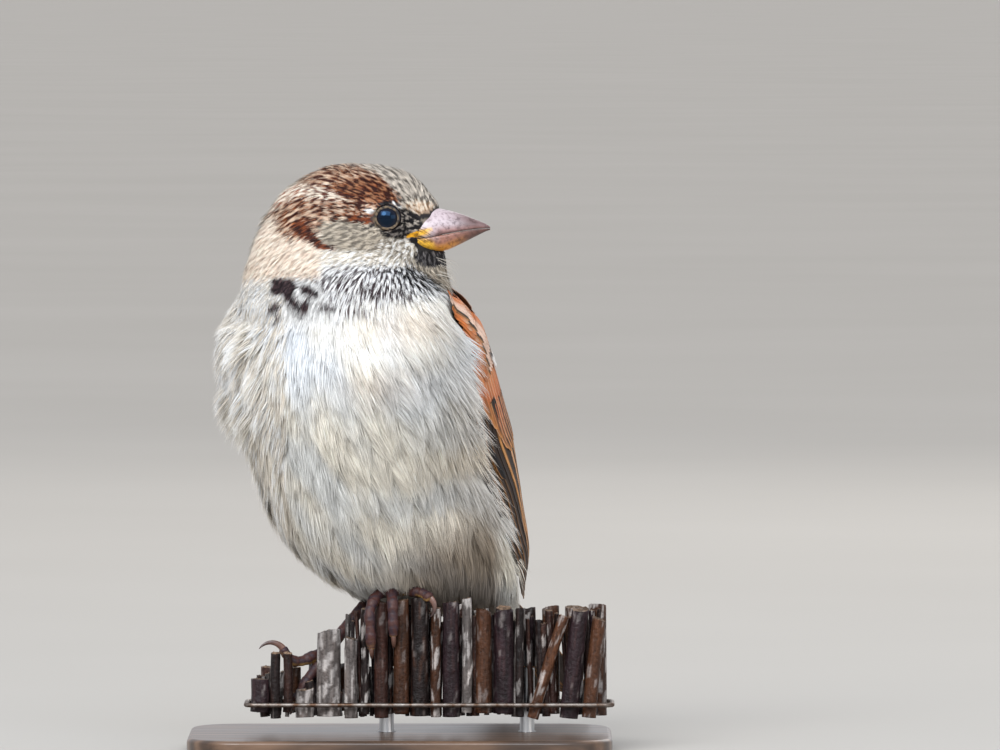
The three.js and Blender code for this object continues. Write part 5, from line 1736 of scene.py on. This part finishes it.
def base_wood_material():
    s = Shader("base_wood", Roughness=0.35, Specular_IOR_Level=0.5, Coat_Weight=0.35, Coat_Roughness=0.22)
    wood = s.node("ShaderNodeTexWave", wave_type="BANDS", bands_direction="Y", in_Scale=55.0,
                  in_Distortion=9.0, in_Detail=4.0, in_Detail_Scale=1.2)
    s.link(s.coords((0.25, 1, 1)), wood.inputs["Vector"])
    pores = s.noise(420, detail=6, rough=0.7, stretch=(0.12, 1, 1))
    tone = s.ramp(wood.outputs[1], [(0.0, (0.055, 0.03, 0.018)), (0.55, (0.10, 0.055, 0.032)),
                                    (1.0, (0.15, 0.085, 0.05))])
    s.colour(s.dimmed(tone, pores, [(0.35, (0.6, 0.58, 0.56)), (0.6, (1.05, 1.05, 1.05))]))
    s.rough(pores, 0.26, 0.5)
    s.bump(pores, 0.25, 0.00012)
    return s.material


def rod_material():
    s = Shader("rod_metal", Roughness=0.3, Metallic=1.0)
    s.colour(s.ramp(s.noise(300, detail=5, stretch=(1, 1, 0.08)),
                    [(0.3, (0.46, 0.46, 0.47)), (0.7, (0.62, 0.62, 0.62))]))
    s.rough(s.noise(600, detail=4, stretch=(1, 1, 0.05)), 0.22, 0.42)
    s.bump(s.noise(900, detail=3, stretch=(1, 1, 0.05)), 0.1, 0.00005)
    return s.material


def turned(name, part, slot, material, node):
    """A smooth stand piece whose flat faces stay flat."""
    obj = make(name, *part, slot, material)
    obj.modifiers.new("normals", "WEIGHTED_NORMAL").keep_sharp = False
    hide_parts(node)


HALF_X, HALF_Y, BASE_CORNER = 46, 29, 12
# height and inset of the base's rounded edge
EDGE = [(0.0, 0.5), (0.12, 0.2), (0.5, 0.0), (3.2, 0.0), (3.42, 0.06), (3.62, 0.2), (3.8, 0.42),
        (3.92, 0.66), (4.0, 1.0)]
rings = []
for z, inset in EDGE:
    x, y = HALF_X - inset, HALF_Y - inset
    rings.append(rounded(-x, x, -y, y, BASE_CORNER - inset, 14, z))
for share in (0.75, 0.4):
    rings.append(rings[-1] * vec(share, share, 1))
turned("base_plate", loft(np.stack(rings)), "base_wood", base_wood_material(), "stand_base")

metal = rod_material()
rod_z, rod_radius = vec(4.0, 4.05, 4.3, 17.6, 17.85, 18.0), vec(1.95, 2.0, 1.6, 1.6, 1.5, 1.3)
for n, x in enumerate((-3.0, 27.6)):
    line = np.stack([np.full(6, x), np.full(6, REAR_Y), rod_z], 1)
    rod = loft(sweep(line, rod_radius, 48))
    turned(f"support_rod_{n + 1}", rod, "rod_metal", metal, f"stand_rod_{n + 1}")

# ---------------------------------------------------------------- floor, lights and camera

floor_mesh = bpy.data.meshes.new("floor")
FLOOR_RADIUS, FLOOR_DROP = 400, 0.0002
rim = [(FLOOR_RADIUS * math.cos(t), FLOOR_RADIUS * math.sin(t), -FLOOR_DROP) for t in turns(96)]
floor_mesh.from_pydata(rim, [], [list(range(96))])
floor = placed("floor", floor_mesh)
s = Shader("floor", Roughness=0.9, Specular_IOR_Level=0.2)
s.colour(s.ramp(s.noise(3), [(0.3, (0.43, 0.41, 0.38)), (0.7, (0.45, 0.43, 0.40))]))
floor_mesh.materials.append(s.material)
floor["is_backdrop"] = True

world = bpy.data.worlds.new("world")
world.use_nodes = True
background = world.node_tree.nodes["Background"]
background.inputs[0].default_value = (0.93, 0.95, 1.0, 1)
background.inputs[1].default_value = 0.78
scene.world = world


def softbox(name, place, target, size, power, colour):
    """A rectangular lamp at a place in metres, turned to its target."""
    data = bpy.data.lights.new(name, "AREA")
    data.shape = "RECTANGLE"
    data.size, data.size_y = size
    data.energy = power
    data.color = colour
    obj = placed(name, data)
    obj.location = place
    forward = unit(vec(*target) - vec(*place))
    obj.rotation_euler = Vector(forward).to_track_quat("-Z", "Y").to_euler()


AIM = (0, 0, 0.08)
sun = bpy.data.lights.new("key", "SUN")
sun.energy = 1.7
sun.angle = math.radians(30)
sun.color = (1.0, 0.965, 0.91)
key = placed("key", sun)
key.rotation_euler = (math.radians(50), math.radians(-30), 0)
softbox("sky", (-0.2, -1.15, 1.0), (-0.003, -0.02, 0.09), (1.9, 0.9), 21, (0.78, 0.88, 1.0))
softbox("fill", (1.1, -0.9, 0.2), AIM, (0.9, 0.9), 3, (1.0, 0.95, 0.9))
softbox("rim", (0.45, 1.1, 0.7), AIM, (0.8, 0.6), 3, (1.0, 0.97, 0.93))

camera_data = bpy.data.cameras.new("camera")
camera_data.lens = LENS
camera_data.sensor_width = SENSOR
camera_data.clip_end = 1000
camera = placed("camera", camera_data)
camera.location = (LOOK_AT - LOOK * VIEW_DISTANCE) * MM
camera.rotation_euler = (math.pi / 2 - TILT, 0, 0)
scene.camera = camera
scene.view_settings.view_transform = "Standard"

as_list = lambda box: [[float(v) for v in corner] for corner in box]
{"cad": as_list(cad_box), "visual": as_list(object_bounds())}
